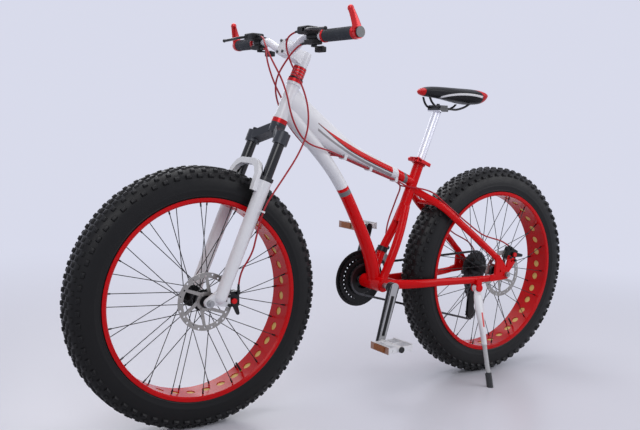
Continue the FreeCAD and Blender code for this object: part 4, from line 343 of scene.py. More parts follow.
# %% [markdown]
# The frame is two-coloured. The head tube, the top tube and the upper down tube are white, the rest is red,
# and a short grey band covers each change. The top tube's stripes follow its curve, so they are drawn by the
# height above a curve through the middle of the tube: a broad red one that tapers, a black and a grey one.

# %% Frame paint
TOP_TUBE_CURVE = (0.7448, -0.3966, 0.4016, -1.4047)


def down_tube_colour(tree, coords):
    run = along(tree, coords, (0.5, 0.0, -0.866))
    reddened = step_up(tree, run, -0.612, -0.611)
    band = between(tree, run, -0.601, -0.586)
    return mix(tree, band, mix(tree, reddened, WHITE, RED), GREY)


def top_tube_height(tree, x, z):
    """Height above the middle of the top tube, whose curve is a cubic in X."""
    curve = maths(tree, "MULTIPLY_ADD", x, TOP_TUBE_CURVE[3], TOP_TUBE_CURVE[2])
    curve = maths(tree, "MULTIPLY_ADD", x, curve, TOP_TUBE_CURVE[1])
    curve = maths(tree, "MULTIPLY_ADD", x, curve, TOP_TUBE_CURVE[0])
    return maths(tree, "SUBTRACT", z, curve)


def stripe_between(tree, height, lower, upper, soft):
    """1 between two edges that change along the tube, 0 outside them."""
    return maths(tree, "MULTIPLY", step_up(tree, maths(tree, "SUBTRACT", height, lower), -soft, soft),
                 step_up(tree, maths(tree, "SUBTRACT", upper, height), -soft, soft))


def top_tube_colour(tree, coords):
    x, _, z = axes(tree, coords)
    height = top_tube_height(tree, x, z)
    taper = step_up(tree, x, -0.19, -0.06)
    length = maths(tree, "MULTIPLY", step_up(tree, x, -0.188, -0.186), step_down(tree, x, 0.0985, 0.0995))
    upper = put(tree, "MapRange", {0: taper, 1: 0.0, 2: 1.0, 3: 0.0065, 4: 0.0125})
    lower = put(tree, "MapRange", {0: taper, 1: 0.0, 2: 1.0, 3: 0.0060, 4: -0.0035})
    broad = stripe_between(tree, height, lower, upper, 0.0006)
    thin = stripe_between(tree, height, maths(tree, "SUBTRACT", lower, 0.0028), lower, 0.0005)
    grey = between(tree, height, -0.0165, -0.0095)
    painted = mix(tree, maths(tree, "MULTIPLY", broad, length), WHITE, RED)
    painted = mix(tree, maths(tree, "MULTIPLY", thin, length), painted, BLACK)
    painted = mix(tree, maths(tree, "MULTIPLY", grey, length), painted, (0.30, 0.29, 0.30))
    rear = step_up(tree, x, 0.1235, 0.1245)
    painted = mix(tree, rear, painted, RED)
    return mix(tree, between(tree, x, 0.149, 0.162), painted, GREY)


down_tube_paint = finish("down_tube_paint", down_tube_colour, 0.16, 0.04, specular=0.15, **PAINT)
top_tube_paint = finish("top_tube_paint", top_tube_colour, 0.16, 0.04, specular=0.15, **PAINT)
print("finishes", len(bpy.data.materials))


# %% [markdown]
# The side stand is one casting with three finishes: a white body with a small red inlay, a bright leg and a
# black shoe. The crank arms are black, with a bright outer face round a long black inlay and bare metal
# edges that also carry a painted highlight, so their colour follows which way a face points. Ring teeth
# are worn bright by the chain, so their colour follows the distance from the axle.


# %% Finishes that change over a piece
def stand_colour(tree, coords):
    x, _, z = axes(tree, coords)
    white_body = step_up(tree, z, 0.138, 0.140)
    shoe = step_down(tree, z, 0.0475, 0.0485)
    inlay = maths(tree, "MULTIPLY", between(tree, z, 0.196, 0.243, 0.002),
                  between(tree, x, 0.4245, 0.4315, 0.001))
    painted = mix(tree, white_body, (0.42, 0.42, 0.43), WHITE)
    painted = mix(tree, inlay, painted, RED)
    return mix(tree, shoe, painted, BLACK)


def crank_colour(tree, coords):
    """Black arm: a bright outer face with a long black inlay, and bare metal along the sharp edges, made
    lighter there as a painted highlight.
    """
    rounded = put(tree, "Bevel", {"Radius": 0.0028}, samples=6)
    true = tree.nodes.new("ShaderNodeNewGeometry").outputs["True Normal"]
    # Lighter along the sharp edges: bare metal, and a painted highlight on them as well
    edge = step_down(tree, dot(tree, rounded, true), 0.86, 0.985)
    side_of_bike = maths(tree, "SIGN", axes(tree, coords)[1])
    outward = step_up(tree, maths(tree, "MULTIPLY", axes(tree, true)[1], side_of_bike), 0.80, 0.90)
    across = maths(tree, "ABSOLUTE", along(tree, coords, CRANK_ACROSS, SHELL))
    run = maths(tree, "ABSOLUTE", along(tree, coords, CRANK_RUN, SHELL))
    inlay = maths(tree, "MULTIPLY", between(tree, across, -1.0, 0.0060, 0.0005),
                  between(tree, run, 0.024, 0.150))
    bright = maths(tree, "MULTIPLY", outward, maths(tree, "SUBTRACT", 1.0, inlay))
    bright = maths(tree, "MULTIPLY", bright, between(tree, across, -1.0, 0.0125, 0.0005))
    return mix(tree, maths(tree, "MAXIMUM", edge, bright), BLACK, (0.38, 0.38, 0.40))


def ring_colour(tree, coords):
    far = from_axle(tree, coords, SHELL)
    worn = maths(tree, "MULTIPLY", between(tree, far, 0.0455, 0.0485), 0.6)
    return mix(tree, worn, (0.009, 0.009, 0.010), (0.20, 0.20, 0.21))


def from_axle_vector(tree, coords):
    """Coordinates that change only with the distance from the nearer wheel's axle."""
    x = axes(tree, coords)[0]
    rear = step_up(tree, x, -0.01, 0.01)
    front_far = from_axle(tree, coords, FRONT_AXLE)
    rear_far = from_axle(tree, coords, REAR_AXLE)
    far = maths(tree, "ADD", maths(tree, "MULTIPLY", rear, rear_far),
                maths(tree, "MULTIPLY", maths(tree, "SUBTRACT", 1.0, rear), front_far))
    return put(tree, "CombineXYZ", {0: far, 1: 0.0, 2: 0.0})


def rotor_colour(tree, coords):
    streaks = noise(tree, from_axle_vector(tree, coords), 260.0, 2.0)
    return mix(tree, streaks, (0.24, 0.228, 0.215), (0.42, 0.40, 0.38))


def pedal_colour(tree, coords):
    """Bright cage, amber reflectors on its two long sides and a black cap at its end."""
    x, y, _ = axes(tree, coords)
    out = maths(tree, "ABSOLUTE", y)
    cap = step_up(tree, out, 0.2028, 0.2032)
    left = maths(tree, "ABSOLUTE", maths(tree, "SUBTRACT", x, 0.014723))
    right = maths(tree, "ABSOLUTE", maths(tree, "SUBTRACT", x, 0.099277))
    on_left = maths(tree, "LESS_THAN", y, 0.0)
    far = maths(tree, "ADD", maths(tree, "MULTIPLY", on_left, left),
                maths(tree, "MULTIPLY", maths(tree, "SUBTRACT", 1.0, on_left), right))
    lens_side = step_up(tree, far, 0.04595, 0.04602)
    painted = mix(tree, lens_side, SILVER, (0.28, 0.085, 0.015))
    return mix(tree, cap, painted, BLACK)


def bar_end_colour(tree, coords):
    """Red horns, and grey plugs in the bar's ends."""
    out = maths(tree, "ABSOLUTE", axes(tree, coords)[1])
    near = step_down(tree, from_axle(tree, coords, BAR_OUTER), 0.0144, 0.0147)
    plug = maths(tree, "MULTIPLY", near, step_up(tree, out, 0.3236, 0.3239))
    return mix(tree, plug, RED, (0.045, 0.047, 0.05))


def caliper_arm_colour(tree, coords):
    """Black arm with a round red adjuster on its pivot."""
    knob = 0.0
    for pivot, start in ((FRONT_BRAKE_PIVOT, 0.0708), (REAR_BRAKE_PIVOT, 0.0988)):
        close = maths(tree, "LESS_THAN", from_axle(tree, coords, pivot), 0.0080)
        proud = maths(tree, "LESS_THAN", axes(tree, coords)[1], -start)
        knob = maths(tree, "ADD", knob, maths(tree, "MULTIPLY", close, proud))
    return mix(tree, knob, BLACK, RED)


def headset_colour(tree, coords):
    """Red cups and spacers, a bare line where two spacers meet, and a black seal over the upper cup."""
    height = along(tree, coords, HEAD_UP, HEAD_BASE)
    turns = maths(tree, "DIVIDE", maths(tree, "SUBTRACT", height, SPACER_BASE), SPACER_HEIGHT)
    lines = maths(tree, "GREATER_THAN", maths(tree, "FRACT", turns), 0.80)
    lines = maths(tree, "MULTIPLY", lines, maths(tree, "GREATER_THAN", height, SPACER_BASE))
    seal = between(tree, height, SPACER_BASE - 0.0032, SPACER_BASE + 0.0030, 0.0002)
    return mix(tree, seal, mix(tree, lines, (0.50, 0.004, 0.007), (0.30, 0.24, 0.25)), BLACK)


def fork_leg_colour(tree, coords):
    """White legs with a black seal collar round the top of each."""
    height = along(tree, coords, HEAD_UP, HEAD_BASE)
    forward = maths(tree, "ADD", along(tree, coords, HEAD_BACK, HEAD_BASE), 0.018)
    aside = maths(tree, "SUBTRACT", maths(tree, "ABSOLUTE", axes(tree, coords)[1]), 0.077)
    far = size_of(tree, put(tree, "CombineXYZ", {0: forward, 1: aside, 2: 0.0}))
    on_leg = maths(tree, "LESS_THAN", far, 0.0228)
    collar = maths(tree, "MULTIPLY", on_leg, step_up(tree, height, -0.1840, -0.1835))
    return mix(tree, collar, WHITE, BLACK)


def post_colour(tree, coords):
    """Pale tube under a dark clamp that holds the saddle's rails."""
    height = along(tree, coords, POST_UP, POST_HEAD)
    return mix(tree, step_up(tree, height, -0.0085, -0.0080), (0.76, 0.765, 0.84), (0.05, 0.05, 0.054))


def stem_colour(tree, coords):
    """White stem with dark bolts in its face plate."""
    ahead = along(tree, coords, HEAD_BACK, HEAD_BASE)
    return mix(tree, step_up(tree, ahead, -0.0769, -0.0767), (0.03, 0.03, 0.032), WHITE)


def strip_colour(tree, coords):
    """Amber cloth tape inside the rim, and the black valve that stands out of it."""
    valve = maths(tree, "LESS_THAN", axes(tree, from_axle_vector(tree, coords))[0], 0.2645)
    return mix(tree, valve, AMBER, BLACK)


stand_finish = finish("stand_finish", stand_colour, 0.3, 0.06, coat=0.2, grain=300.0)
crank_finish = finish("crank_finish", crank_colour, 0.34, 0.07, metallic=0.3, grain=700.0, specular=0.3)
chainring_finish = finish("chainring_finish", ring_colour, 0.38, 0.08, metallic=0.3, grain=700.0,
                          specular=0.3)
rotor_finish = finish("rotor_finish", rotor_colour, 0.34, 0.08, metallic=0.9, grain=900.0, depth=0.00001)
pedal_finish = finish("pedal_finish", pedal_colour, 0.32, 0.08, metallic=0.3, grain=600.0, depth=0.000008)
bar_end_finish = finish("bar_end_finish", bar_end_colour, 0.24, 0.05, metallic=0.35, coat=0.3, grain=500.0)
caliper_arm_finish = finish("caliper_arm_finish", caliper_arm_colour, 0.36, 0.08, grain=900.0, specular=0.3)
headset_finish = finish("headset_finish", headset_colour, 0.28, 0.06, metallic=0.5, grain=600.0)
fork_leg_paint = finish("fork_leg_paint", fork_leg_colour, 0.26, 0.05, coat=0.15, mottling=0.05, **PAINT)
post_finish = finish("post_finish", post_colour, 0.34, 0.05, metallic=0.4, grain=400.0, depth=0.000001,
                     mottling=0.05)
stem_paint = finish("stem_paint", stem_colour, 0.26, 0.05, coat=0.15, mottling=0.05, **PAINT)
strip_finish = finish("strip_finish", strip_colour, 0.6, 0.08, grain=900.0, depth=0.0002,
                      stretch=(1.0, 0.3, 1.0))
print("finishes", len(bpy.data.materials))

# %% [markdown]
# A CAD mesh is made of loose triangles. Weld joins them, and Edge Split keeps the hard corners sharp, so the
# tubes shade smoothly while their cut ends stay crisp. Neither changes the CAD mesh itself.

# %% Dress the CAD pieces
dressing = {
    white_paint: ["head_tube"],
    stem_paint: ["stem"],
    fork_leg_paint: ["fork_lowers"],
    top_tube_paint: ["top_tube"],
    down_tube_paint: ["down_tube"],
    red_paint: ["seat_tube", "bottom_bracket_shell", "rear_triangle", "kickstand_mount"],
    red_alloy: ["seat_clamp", "seat_clamp_lever"],
    headset_finish: ["headset_cups", "headset_spacers"],
    gunmetal: ["fork_crown"],
    black_paint: ["front_hub", "rear_hub", "front_caliper", "rear_caliper", "rear_derailleur",
                  "front_derailleur", "rear_derailleur_cage", "saddle_rails", "brake_lever_left",
                  "brake_lever_right"],
    black_plastic: ["control_pods", "shift_lever_left", "shift_lever_right", "lockout_dial"],
    rim_paint: ["front_rim", "rear_rim"],
    strip_finish: ["front_rim_strip", "rear_rim_strip"],
    spoke_black: ["front_spokes", "rear_spokes"],
    rotor_finish: ["front_rotor", "rear_rotor"],
    plain_steel: ["front_axle", "rear_axle", "crank_axle", "front_derailleur_cage"],
    dark_steel: ["cassette"],
    fork_chrome: ["stanchions"],
    bright_alloy: ["handlebar"],
    post_finish: ["seat_post"],
    bar_end_finish: ["bar_ends"],
    caliper_arm_finish: ["front_caliper_arm", "rear_caliper_arm"],
    crank_finish: ["crank_arm_left", "crank_arm_right"],
    chainring_finish: ["chainrings"],
    pedal_finish: ["pedal_left", "pedal_right"],
    stand_finish: ["kickstand_leg"],
}
CORNER_ANGLE = 32.0
ROUND_PIECES, ROUND_ANGLE = ("seat_post", "handlebar", "stanchions"), 62.0


def shade_smooth(piece):
    for face in piece.data.polygons:
        face.use_smooth = True


def soften(piece, angle=CORNER_ANGLE):
    """Smooth shading with sharp corners, by modifiers alone."""
    shade_smooth(piece)
    weld = piece.modifiers.new("weld", "WELD")
    weld.merge_threshold = 0.000005
    split = piece.modifiers.new("corners", "EDGE_SPLIT")
    split.split_angle = math.radians(angle)


for paint, names in dressing.items():
    for name in names:
        nodes[name].data.materials.clear()
        nodes[name].data.materials.append(paint)
        soften(nodes[name], ROUND_ANGLE if name in ROUND_PIECES else CORNER_ANGLE)
print("dressed", sum(len(names) for names in dressing.values()), "CAD pieces")


# %% [markdown]
# A fat tyre is a casing of rubber with rows of tread blocks, staggered from row to row. The casing is its
# cross section spun about the axle. One block per row is a cube that is tapered and bevelled, and the spin
# operator copies it round the wheel.

# %% Tyres
TREAD_COUNT = 66
BLOCK_TAPER, BLOCK_BEVEL, BLOCK_SINK = 0.78, 0.0011, 0.0015
# Radius and distance from the middle plane, from the bead to the crown
CASING = [(0.2700, 0.0452), (0.2795, 0.0453), (0.2812, 0.0460), (0.2822, 0.0471), (0.2840, 0.0475),
          (0.2852, 0.0468), (0.2900, 0.0478), (0.2970, 0.0488), (0.2990, 0.0495), (0.3006, 0.0492),
          (0.3066, 0.0495), (0.3150, 0.0489), (0.3230, 0.0476), (0.3302, 0.0460), (0.3390, 0.0418),
          (0.3475, 0.0360), (0.3530, 0.0300), (0.3560, 0.0255), (0.3560, 0.0080)]
LINING = [(0.2700, 0.0422), (0.2810, 0.0424), (0.3066, 0.0465), (0.3290, 0.0432), (0.3445, 0.0335),
          (0.3530, 0.0240), (0.3530, 0.0080)]
# Middle of a block's foot as radius and offset, its lean, its size along, across and up, and its stagger
TREAD_ROWS = [(0.3563, 0.0090, 0.0, (0.0150, 0.0130, 0.0062), 0.0),
              (0.3562, 0.0208, 2.0, (0.0140, 0.0095, 0.0062), 0.5),
              (0.3510, 0.0328, 30.0, (0.0130, 0.0100, 0.0062), 0.0),
              (0.3372, 0.0432, 56.0, (0.0165, 0.0115, 0.0072), 0.5)]


def add_block(bm, row, sign, stagger):
    """One tread block on the casing at the front of the wheel, spun round it."""
    radius, offset, lean, size, shift = row
    made = bmesh.ops.create_cube(bm, size=1.0)["verts"]
    bmesh.ops.scale(bm, vec=(size[2], size[1], size[0]), verts=made)
    top = [vert for vert in made if vert.co.x > 0]
    bmesh.ops.scale(bm, vec=(1.0, BLOCK_TAPER, BLOCK_TAPER), verts=top)
    bmesh.ops.translate(bm, vec=(size[2] / 2 - BLOCK_SINK, 0.0, 0.0), verts=made)
    edges = {edge for vert in top for edge in vert.link_edges}
    made_bevel = bmesh.ops.bevel(bm, geom=list(edges), offset=BLOCK_BEVEL, affect="EDGES", segments=2,
                                 profile=0.5, material=-1)
    block = {vert for face in made_bevel["faces"] for vert in face.verts}
    block = list(block | {vert for vert in made if vert.is_valid})
    leaning = Matrix.Rotation(math.radians(lean) * sign, 3, "Z")
    bmesh.ops.rotate(bm, cent=(0, 0, 0), matrix=leaning, verts=block)
    bmesh.ops.translate(bm, vec=(radius, offset * sign, 0.0), verts=block)
    pitch = math.tau / TREAD_COUNT
    staggered = Matrix.Rotation(pitch * ((shift + stagger) % 1.0), 3, "Y")
    bmesh.ops.rotate(bm, cent=(0, 0, 0), matrix=staggered, verts=block)
    faces = {face for vert in block for face in vert.link_faces}
    edges = {edge for vert in block for edge in vert.link_edges}
    bmesh.ops.spin(bm, geom=block + list(edges) + list(faces), cent=(0, 0, 0), axis=(0, 1, 0),
                   angle=pitch * (TREAD_COUNT - 1), steps=TREAD_COUNT - 1, use_duplicate=True)


def tyre(name, axle, node, body):
    bm = bmesh.new()
    outer = CASING + [(radius, -y) for radius, y in reversed(CASING)]
    inner = [(radius, -y) for radius, y in LINING] + list(reversed(LINING))
    ring = [bm.verts.new((radius, y, 0.0)) for radius, y in outer + inner]
    edges = [bm.edges.new((first, second)) for first, second in zip(ring, ring[1:] + ring[:1])]
    bmesh.ops.spin(bm, geom=ring + edges, cent=(0, 0, 0), axis=(0, 1, 0), angle=math.tau, steps=180,
                   use_merge=True)
    bmesh.ops.remove_doubles(bm, verts=bm.verts, dist=0.00001)
    bmesh.ops.recalc_face_normals(bm, faces=bm.faces)
    for sign, stagger in ((1, 0.0), (-1, 0.5)):
        for row in TREAD_ROWS:
            add_block(bm, row, sign, stagger)
    bmesh.ops.translate(bm, vec=axle, verts=bm.verts)
    made = plain_object(name, bm)
    soften(made, 40.0)
    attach(made, body)
    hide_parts(node)
    print(name, len(made.data.polygons), "faces")
    return made


def tyre_colour(tree, coords):
    """Black rubber, a little greyer where dust has settled on the tread."""
    far = axes(tree, from_axle_vector(tree, coords))[0]
    dusty = maths(tree, "MULTIPLY", step_up(tree, far, 0.345, 0.361), noise(tree, coords, 55.0, 4.0))
    return mix(tree, dusty, (0.0050, 0.0050, 0.0054), (0.016, 0.016, 0.0165))


tyre_rubber = finish("tyre_rubber", tyre_colour, 0.42, 0.08, grain=1200.0, depth=0.00010, specular=0.22)
for name, axle, body in (("front_tyre", FRONT_AXLE, "front_wheel"), ("rear_tyre", REAR_AXLE, "rear_wheel")):
    tyre(name + "_tread", axle, name, body).data.materials.append(tyre_rubber)


# %% [markdown]
# The saddle is foam under a smooth cover: a narrow nose, a broad rear, a crowned top and drawn-in sides.
# Loops of a circle are shaped to its width and height at each station and bridged, and subdivision rounds it
# off. The white piping and the red ends are sewn panels, drawn by place.

# %% Saddle
# Place along the saddle, half its width, and the heights of its top and its lower edge
SADDLE_STATIONS = [
    (-0.0842, 0.0090, 0.0560, 0.0490), (-0.0785, 0.0170, 0.0625, 0.0435), (-0.0640, 0.0220, 0.0680, 0.0400),
    (-0.0380, 0.0245, 0.0725, 0.0380), (0.0100, 0.0295, 0.0735, 0.0345), (0.0550, 0.0405, 0.0730, 0.0280),
    (0.0970, 0.0565, 0.0730, 0.0230), (0.1320, 0.0695, 0.0730, 0.0208), (0.1560, 0.0685, 0.0700, 0.0238),
    (0.1690, 0.0560, 0.0650, 0.0300), (0.1735, 0.0430, 0.0590, 0.0370)]
LOOP_POINTS = 28
EDGE_SHARE, SIDE_PINCH = 0.58, 0.16
TOP_POWER, UNDER_POWER = 0.9, 0.55


def saddle_loop(bm, station):
    """One loop of the saddle: a circle with a crowned top and a flatter lower half with drawn-in sides."""
    x, half, top, bottom = station
    edge = bottom + EDGE_SHARE * (top - bottom)
    loop = bmesh.ops.create_circle(bm, segments=LOOP_POINTS, radius=1.0)["verts"]
    for vert in loop:
        across, up = vert.co.x, vert.co.y
        if up >= 0:
            vert.co = (x, half * across, edge + (top - edge) * up ** TOP_POWER)
        else:
            pinch = 1.0 - SIDE_PINCH * math.sin(math.pi * min(1.0, -up))
            flat = (-up) ** UNDER_POWER
            vert.co = (x, half * across * pinch, edge - (edge - bottom) * flat)
    return loop


bm = bmesh.new()
loops = [saddle_loop(bm, station) for station in SADDLE_STATIONS]
for first, second in zip(loops, loops[1:]):
    ring_edges = [edge for loop in (first, second) for edge in {e for v in loop for e in v.link_edges}
                  if edge.verts[0] in loop and edge.verts[1] in loop]
    bmesh.ops.bridge_loops(bm, edges=ring_edges)
for loop in (loops[0], loops[-1]):
    bm.faces.new(loop)
bmesh.ops.recalc_face_normals(bm, faces=bm.faces)
bmesh.ops.translate(bm, vec=POST_HEAD, verts=bm.verts)
saddle = plain_object("saddle_cushion", bm)
shade_smooth(saddle)
rounding = saddle.modifiers.new("rounding", "SUBSURF")
rounding.levels = rounding.render_levels = 2


def saddle_colour(tree, coords):
    """Black cover, red nose and rear panels, and a white piped stripe that curves along each side."""
    x, _, z = axes(tree, seen_from(tree, coords, POST_HEAD))
    nose = step_down(tree, x, -0.0685, -0.0675)
    tail_edge = maths(tree, "MULTIPLY_ADD", z, -0.50, 0.1620)
    tail = step_up(tree, maths(tree, "SUBTRACT", x, tail_edge), -0.0006, 0.0006)
    from_peak = maths(tree, "SUBTRACT", x, 0.080)
    swoop = maths(tree, "MULTIPLY_ADD", maths(tree, "MULTIPLY", from_peak, from_peak), -1.9, 0.0530)
    over_swoop = maths(tree, "SUBTRACT", z, swoop)
    stripe = maths(tree, "MULTIPLY", between(tree, over_swoop, -0.0034, 0.0034, 0.0004),
                   between(tree, x, -0.005, 0.136, 0.002))
    painted = mix(tree, maths(tree, "MAXIMUM", nose, tail), (0.008, 0.008, 0.009), (0.48, 0.004, 0.007))
    return mix(tree, stripe, painted, (0.74, 0.74, 0.75))


saddle_cover = finish("saddle_cover", saddle_colour, 0.42, 0.08, grain=1500.0, depth=0.00018, specular=0.25)
saddle.data.materials.append(saddle_cover)
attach(saddle, "seat")
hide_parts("saddle")
print("saddle", len(saddle.data.polygons), "faces before rounding")

# %% [markdown]
# A grip is a rubber sleeve with raised ribs, held by a red clamp ring at each end. Both are cross sections
# spun about the bar: the section is drawn along the bar's own line, so it needs no later turning.


# %% Grips
def bar_place(sign, out):
    """Point on the bar's outer run at a distance from the middle plane, and the run's direction."""
    run = BAR_OUTER - BAR_INNER
    point = BAR_INNER + run * ((out - BAR_INNER.y) / run.y)
    point.y *= sign
    return point, Vector((run.x, run.y * sign, run.z)).normalized()


def spun_along(bm, section, start, direction, steps=48):
    """Spins a section of (distance, radius) points about a line. It is closed where the radius is zero."""
    sideways = direction.orthogonal().normalized()
    ring = [bm.verts.new(start + direction * run + sideways * radius) for run, radius in section]
    edges = [bm.edges.new(pair) for pair in zip(ring, ring[1:])]
    before = set(bm.faces)
    bmesh.ops.spin(bm, geom=ring + edges, cent=start, axis=direction, angle=math.tau, steps=steps,
                   use_merge=True)
    verts = list({vert for face in bm.faces if face not in before for vert in face.verts})
    bmesh.ops.remove_doubles(bm, verts=verts, dist=0.000002)


GRIP_START, GRIP_END, RING_WIDTH = 0.182, 0.312, 0.008
RIBS, PLAIN_END = 26, 0.003
GRIP_RING = [(0.0, 0.0113), (0.0, 0.0167), (0.0008, 0.0175), (0.0030, 0.0175), (0.0035, 0.0169),
             (0.0045, 0.0169), (0.0050, 0.0175), (0.0070, 0.0175), (0.0078, 0.0167), (0.0078, 0.0113),
             (0.0, 0.0113)]
grip_rubber = finish("grip_rubber", (0.036, 0.040, 0.048), 0.6, 0.1, grain=1500.0, depth=0.0001,
                     specular=0.2)
for sign, side_name in ((-1, "left"), (1, "right")):
    start, direction = bar_place(sign, GRIP_START + RING_WIDTH)
    length = GRIP_END - GRIP_START - 2 * RING_WIDTH
    section = [(0.0, 0.0112), (0.0, 0.0150), (0.0010, 0.0163)]
    pitch = (length - 2 * PLAIN_END) / RIBS
    for index in range(RIBS):
        low = PLAIN_END + index * pitch
        section += [(low, 0.0154), (low + 0.2 * pitch, 0.0165), (low + 0.75 * pitch, 0.0165),
                    (low + 0.95 * pitch, 0.0154)]
    section += [(length - 0.0010, 0.0163), (length, 0.0150), (length, 0.0112), (0.0, 0.0112)]
    bm = bmesh.new()
    spun_along(bm, section, start, direction)
    bmesh.ops.recalc_face_normals(bm, faces=bm.faces)
    sleeve = plain_object("grip_" + side_name, bm)
    sleeve.data.materials.append(grip_rubber)
    soften(sleeve, 50.0)
    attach(sleeve, "steering")
    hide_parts("grips")
    bm = bmesh.new()
    for out in (GRIP_START, GRIP_END - RING_WIDTH):
        start, direction = bar_place(sign, out)
        spun_along(bm, GRIP_RING, start, direction)
    bmesh.ops.recalc_face_normals(bm, faces=bm.faces)
    rings = plain_object("grip_rings_" + side_name, bm)
    rings.data.materials.append(red_alloy)
    soften(rings)
    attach(rings, "steering")
print("grips made")

# %% [markdown]
# The brake and gear cables are red housings of 5 mm. Each leaves its lever, loops in front of the head tube
# and ends at its caliper or derailleur. A NURBS line along the route's points gives one smooth curve. A
# cable crosses a joint, and here it is made as one plain mesh that is set on no body.

# %% Cables
CABLE_RADIUS = 0.0025
UNDER_TUBE = [(-0.1034, 0.7553), (-0.0586, 0.7397), (-0.0098, 0.7224), (0.0416, 0.7050), (0.0954, 0.6873),
              (0.1409, 0.6712)]
SEAT_SIDE = [(0.158, 0.017, 0.660), (0.190, 0.028, 0.656), (0.220, 0.036, 0.651), (0.250, 0.045, 0.641),
             (0.284, 0.058, 0.611), (0.314, 0.065, 0.588), (0.345, 0.069, 0.566), (0.392, 0.076, 0.533),
             (0.440, 0.083, 0.501)]
front_brake_route = [
    (-0.3146, -0.1072, 1.0865), (-0.3206, -0.0740, 1.0835), (-0.324, -0.050, 1.057), (-0.302, -0.048, 1.004),
    (-0.274, -0.064, 0.950), (-0.262, -0.079, 0.895), (-0.263, -0.087, 0.842), (-0.276, -0.090, 0.798),
    (-0.302, -0.092, 0.751), (-0.337, -0.095, 0.705), (-0.371, -0.098, 0.662), (-0.400, -0.101, 0.625),
    (-0.417, -0.102, 0.583), (-0.427, -0.100, 0.540), (-0.436, -0.095, 0.490), (-0.4654, -0.0755, 0.4331),
    (-0.4634, -0.0715, 0.3899)]
rear_brake_route = [
    (-0.3146, 0.1072, 1.0865), (-0.3206, 0.0760, 1.0835), (-0.334, 0.042, 1.058), (-0.328, 0.008, 1.012),
    (-0.314, -0.020, 0.966), (-0.304, -0.036, 0.920), (-0.297, -0.044, 0.875), (-0.284, -0.046, 0.842),
    (-0.262, -0.044, 0.810), (-0.236, -0.040, 0.791), (-0.206, -0.036, 0.780), (-0.174, -0.031, 0.774),
    (-0.142, -0.026, 0.766)]
rear_brake_route += [(x, -0.009, z) for x, z in UNDER_TUBE] + [(x, -y, z) for x, y, z in SEAT_SIDE]
rear_brake_route += [(0.478, -0.088, 0.489), (0.5321, -0.0995, 0.4755), (0.5673, -0.0995, 0.4523)]
rear_gear_route = [
    (-0.3016, 0.1132, 1.0555), (-0.3046, 0.0860, 1.0525), (-0.318, 0.058, 1.020), (-0.308, 0.044, 0.970),
    (-0.281, 0.040, 0.918), (-0.246, 0.038, 0.872), (-0.212, 0.034, 0.830), (-0.178, 0.031, 0.795),
    (-0.142, 0.028, 0.768)]
rear_gear_route += [(x, 0.009, z) for x, z in UNDER_TUBE] + SEAT_SIDE
rear_gear_route += [(0.484, 0.096, 0.478), (0.530, 0.108, 0.462), (0.578, 0.112, 0.440),
                    (0.612, 0.112, 0.400), (0.6154, 0.111, 0.3579), (0.5873, 0.111, 0.3402)]
front_gear_route = [
    (-0.3016, -0.1132, 1.0555), (-0.3046, -0.0870, 1.0525), (-0.326, -0.060, 1.010), (-0.330, -0.020, 0.968),
    (-0.314, 0.014, 0.930), (-0.290, 0.032, 0.888), (-0.260, 0.035, 0.844), (-0.226, 0.033, 0.805),
    (-0.186, 0.031, 0.771), (-0.146, 0.024, 0.753)]
front_gear_route += [(x, 0.0, z) for x, z in UNDER_TUBE]
front_gear_route += [(0.156, 0.011, 0.652), (0.159, 0.030, 0.624), (0.157, 0.045, 0.588),
                     (0.146, 0.051, 0.550), (0.135, 0.049, 0.512), (0.130, 0.044, 0.4758)]


def smooth_line(name, route, radius):
    """Curve along a route's control points, as a mesh: a bare line for no radius, or a round tube."""
    curve = bpy.data.curves.new(name, "CURVE")
    curve.dimensions = "3D"
    curve.resolution_u = 8
    curve.bevel_depth = radius
    curve.bevel_resolution = 4
    curve.use_fill_caps = True
    spline = curve.splines.new("NURBS")
    spline.points.add(len(route) - 1)
    for point, spot in zip(spline.points, route):
        point.co = (*spot, 1.0)
    spline.use_endpoint_u = True
    spline.order_u = 3
    holder = bpy.data.objects.new(name, curve)
    scene.collection.objects.link(holder)
    bpy.context.view_layer.update()
    mesh = bpy.data.meshes.new_from_object(holder.evaluated_get(bpy.context.evaluated_depsgraph_get()))
    bpy.data.objects.remove(holder)
    return mesh


cable_red = finish("cable_red", (0.34, 0.010, 0.020), 0.34, 0.06, grain=1200.0, depth=0.00003, specular=0.3)
STEERING_BEND = (Vector((-0.322, 0.0, 1.050)), Vector((-0.150, 0.0, 0.780)))
FORK_BEND = (Vector((-0.262, -0.090, 0.860)), Vector((-0.385, -0.100, 0.650)))
for name, route, node, lower_body, bend in (
        ("front_brake_housing", front_brake_route, "front_brake_cable", "fork_slider", FORK_BEND),
        ("rear_brake_housing", rear_brake_route, "control_cables", "frame", STEERING_BEND),
        ("rear_gear_housing", rear_gear_route, "control_cables", "frame", STEERING_BEND),
        ("front_gear_housing", front_gear_route, "control_cables", "frame", STEERING_BEND)):
    line = smooth_line(name + "_line", route, 0.0)
    points = [vert.co.copy() for vert in line.vertices]
    length = sum((second - first).length for first, second in zip(points, points[1:]))
    housing = bpy.data.objects.new(name, smooth_line(name, route, CABLE_RADIUS))
    scene.collection.objects.link(housing)
    shade_smooth(housing)
    housing.data.materials.clear()
    housing.data.materials.append(cable_red)
    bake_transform(housing)
    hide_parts(node)
    print(name, round(length, 3), "m")

# %% [markdown]
# Where a cable enters a lever, a caliper or a derailleur it wears a black ferrule. The thumb levers of the
# gears wear a moulded pad. Both are small pieces that hide bare cut ends, and a close look expects them.

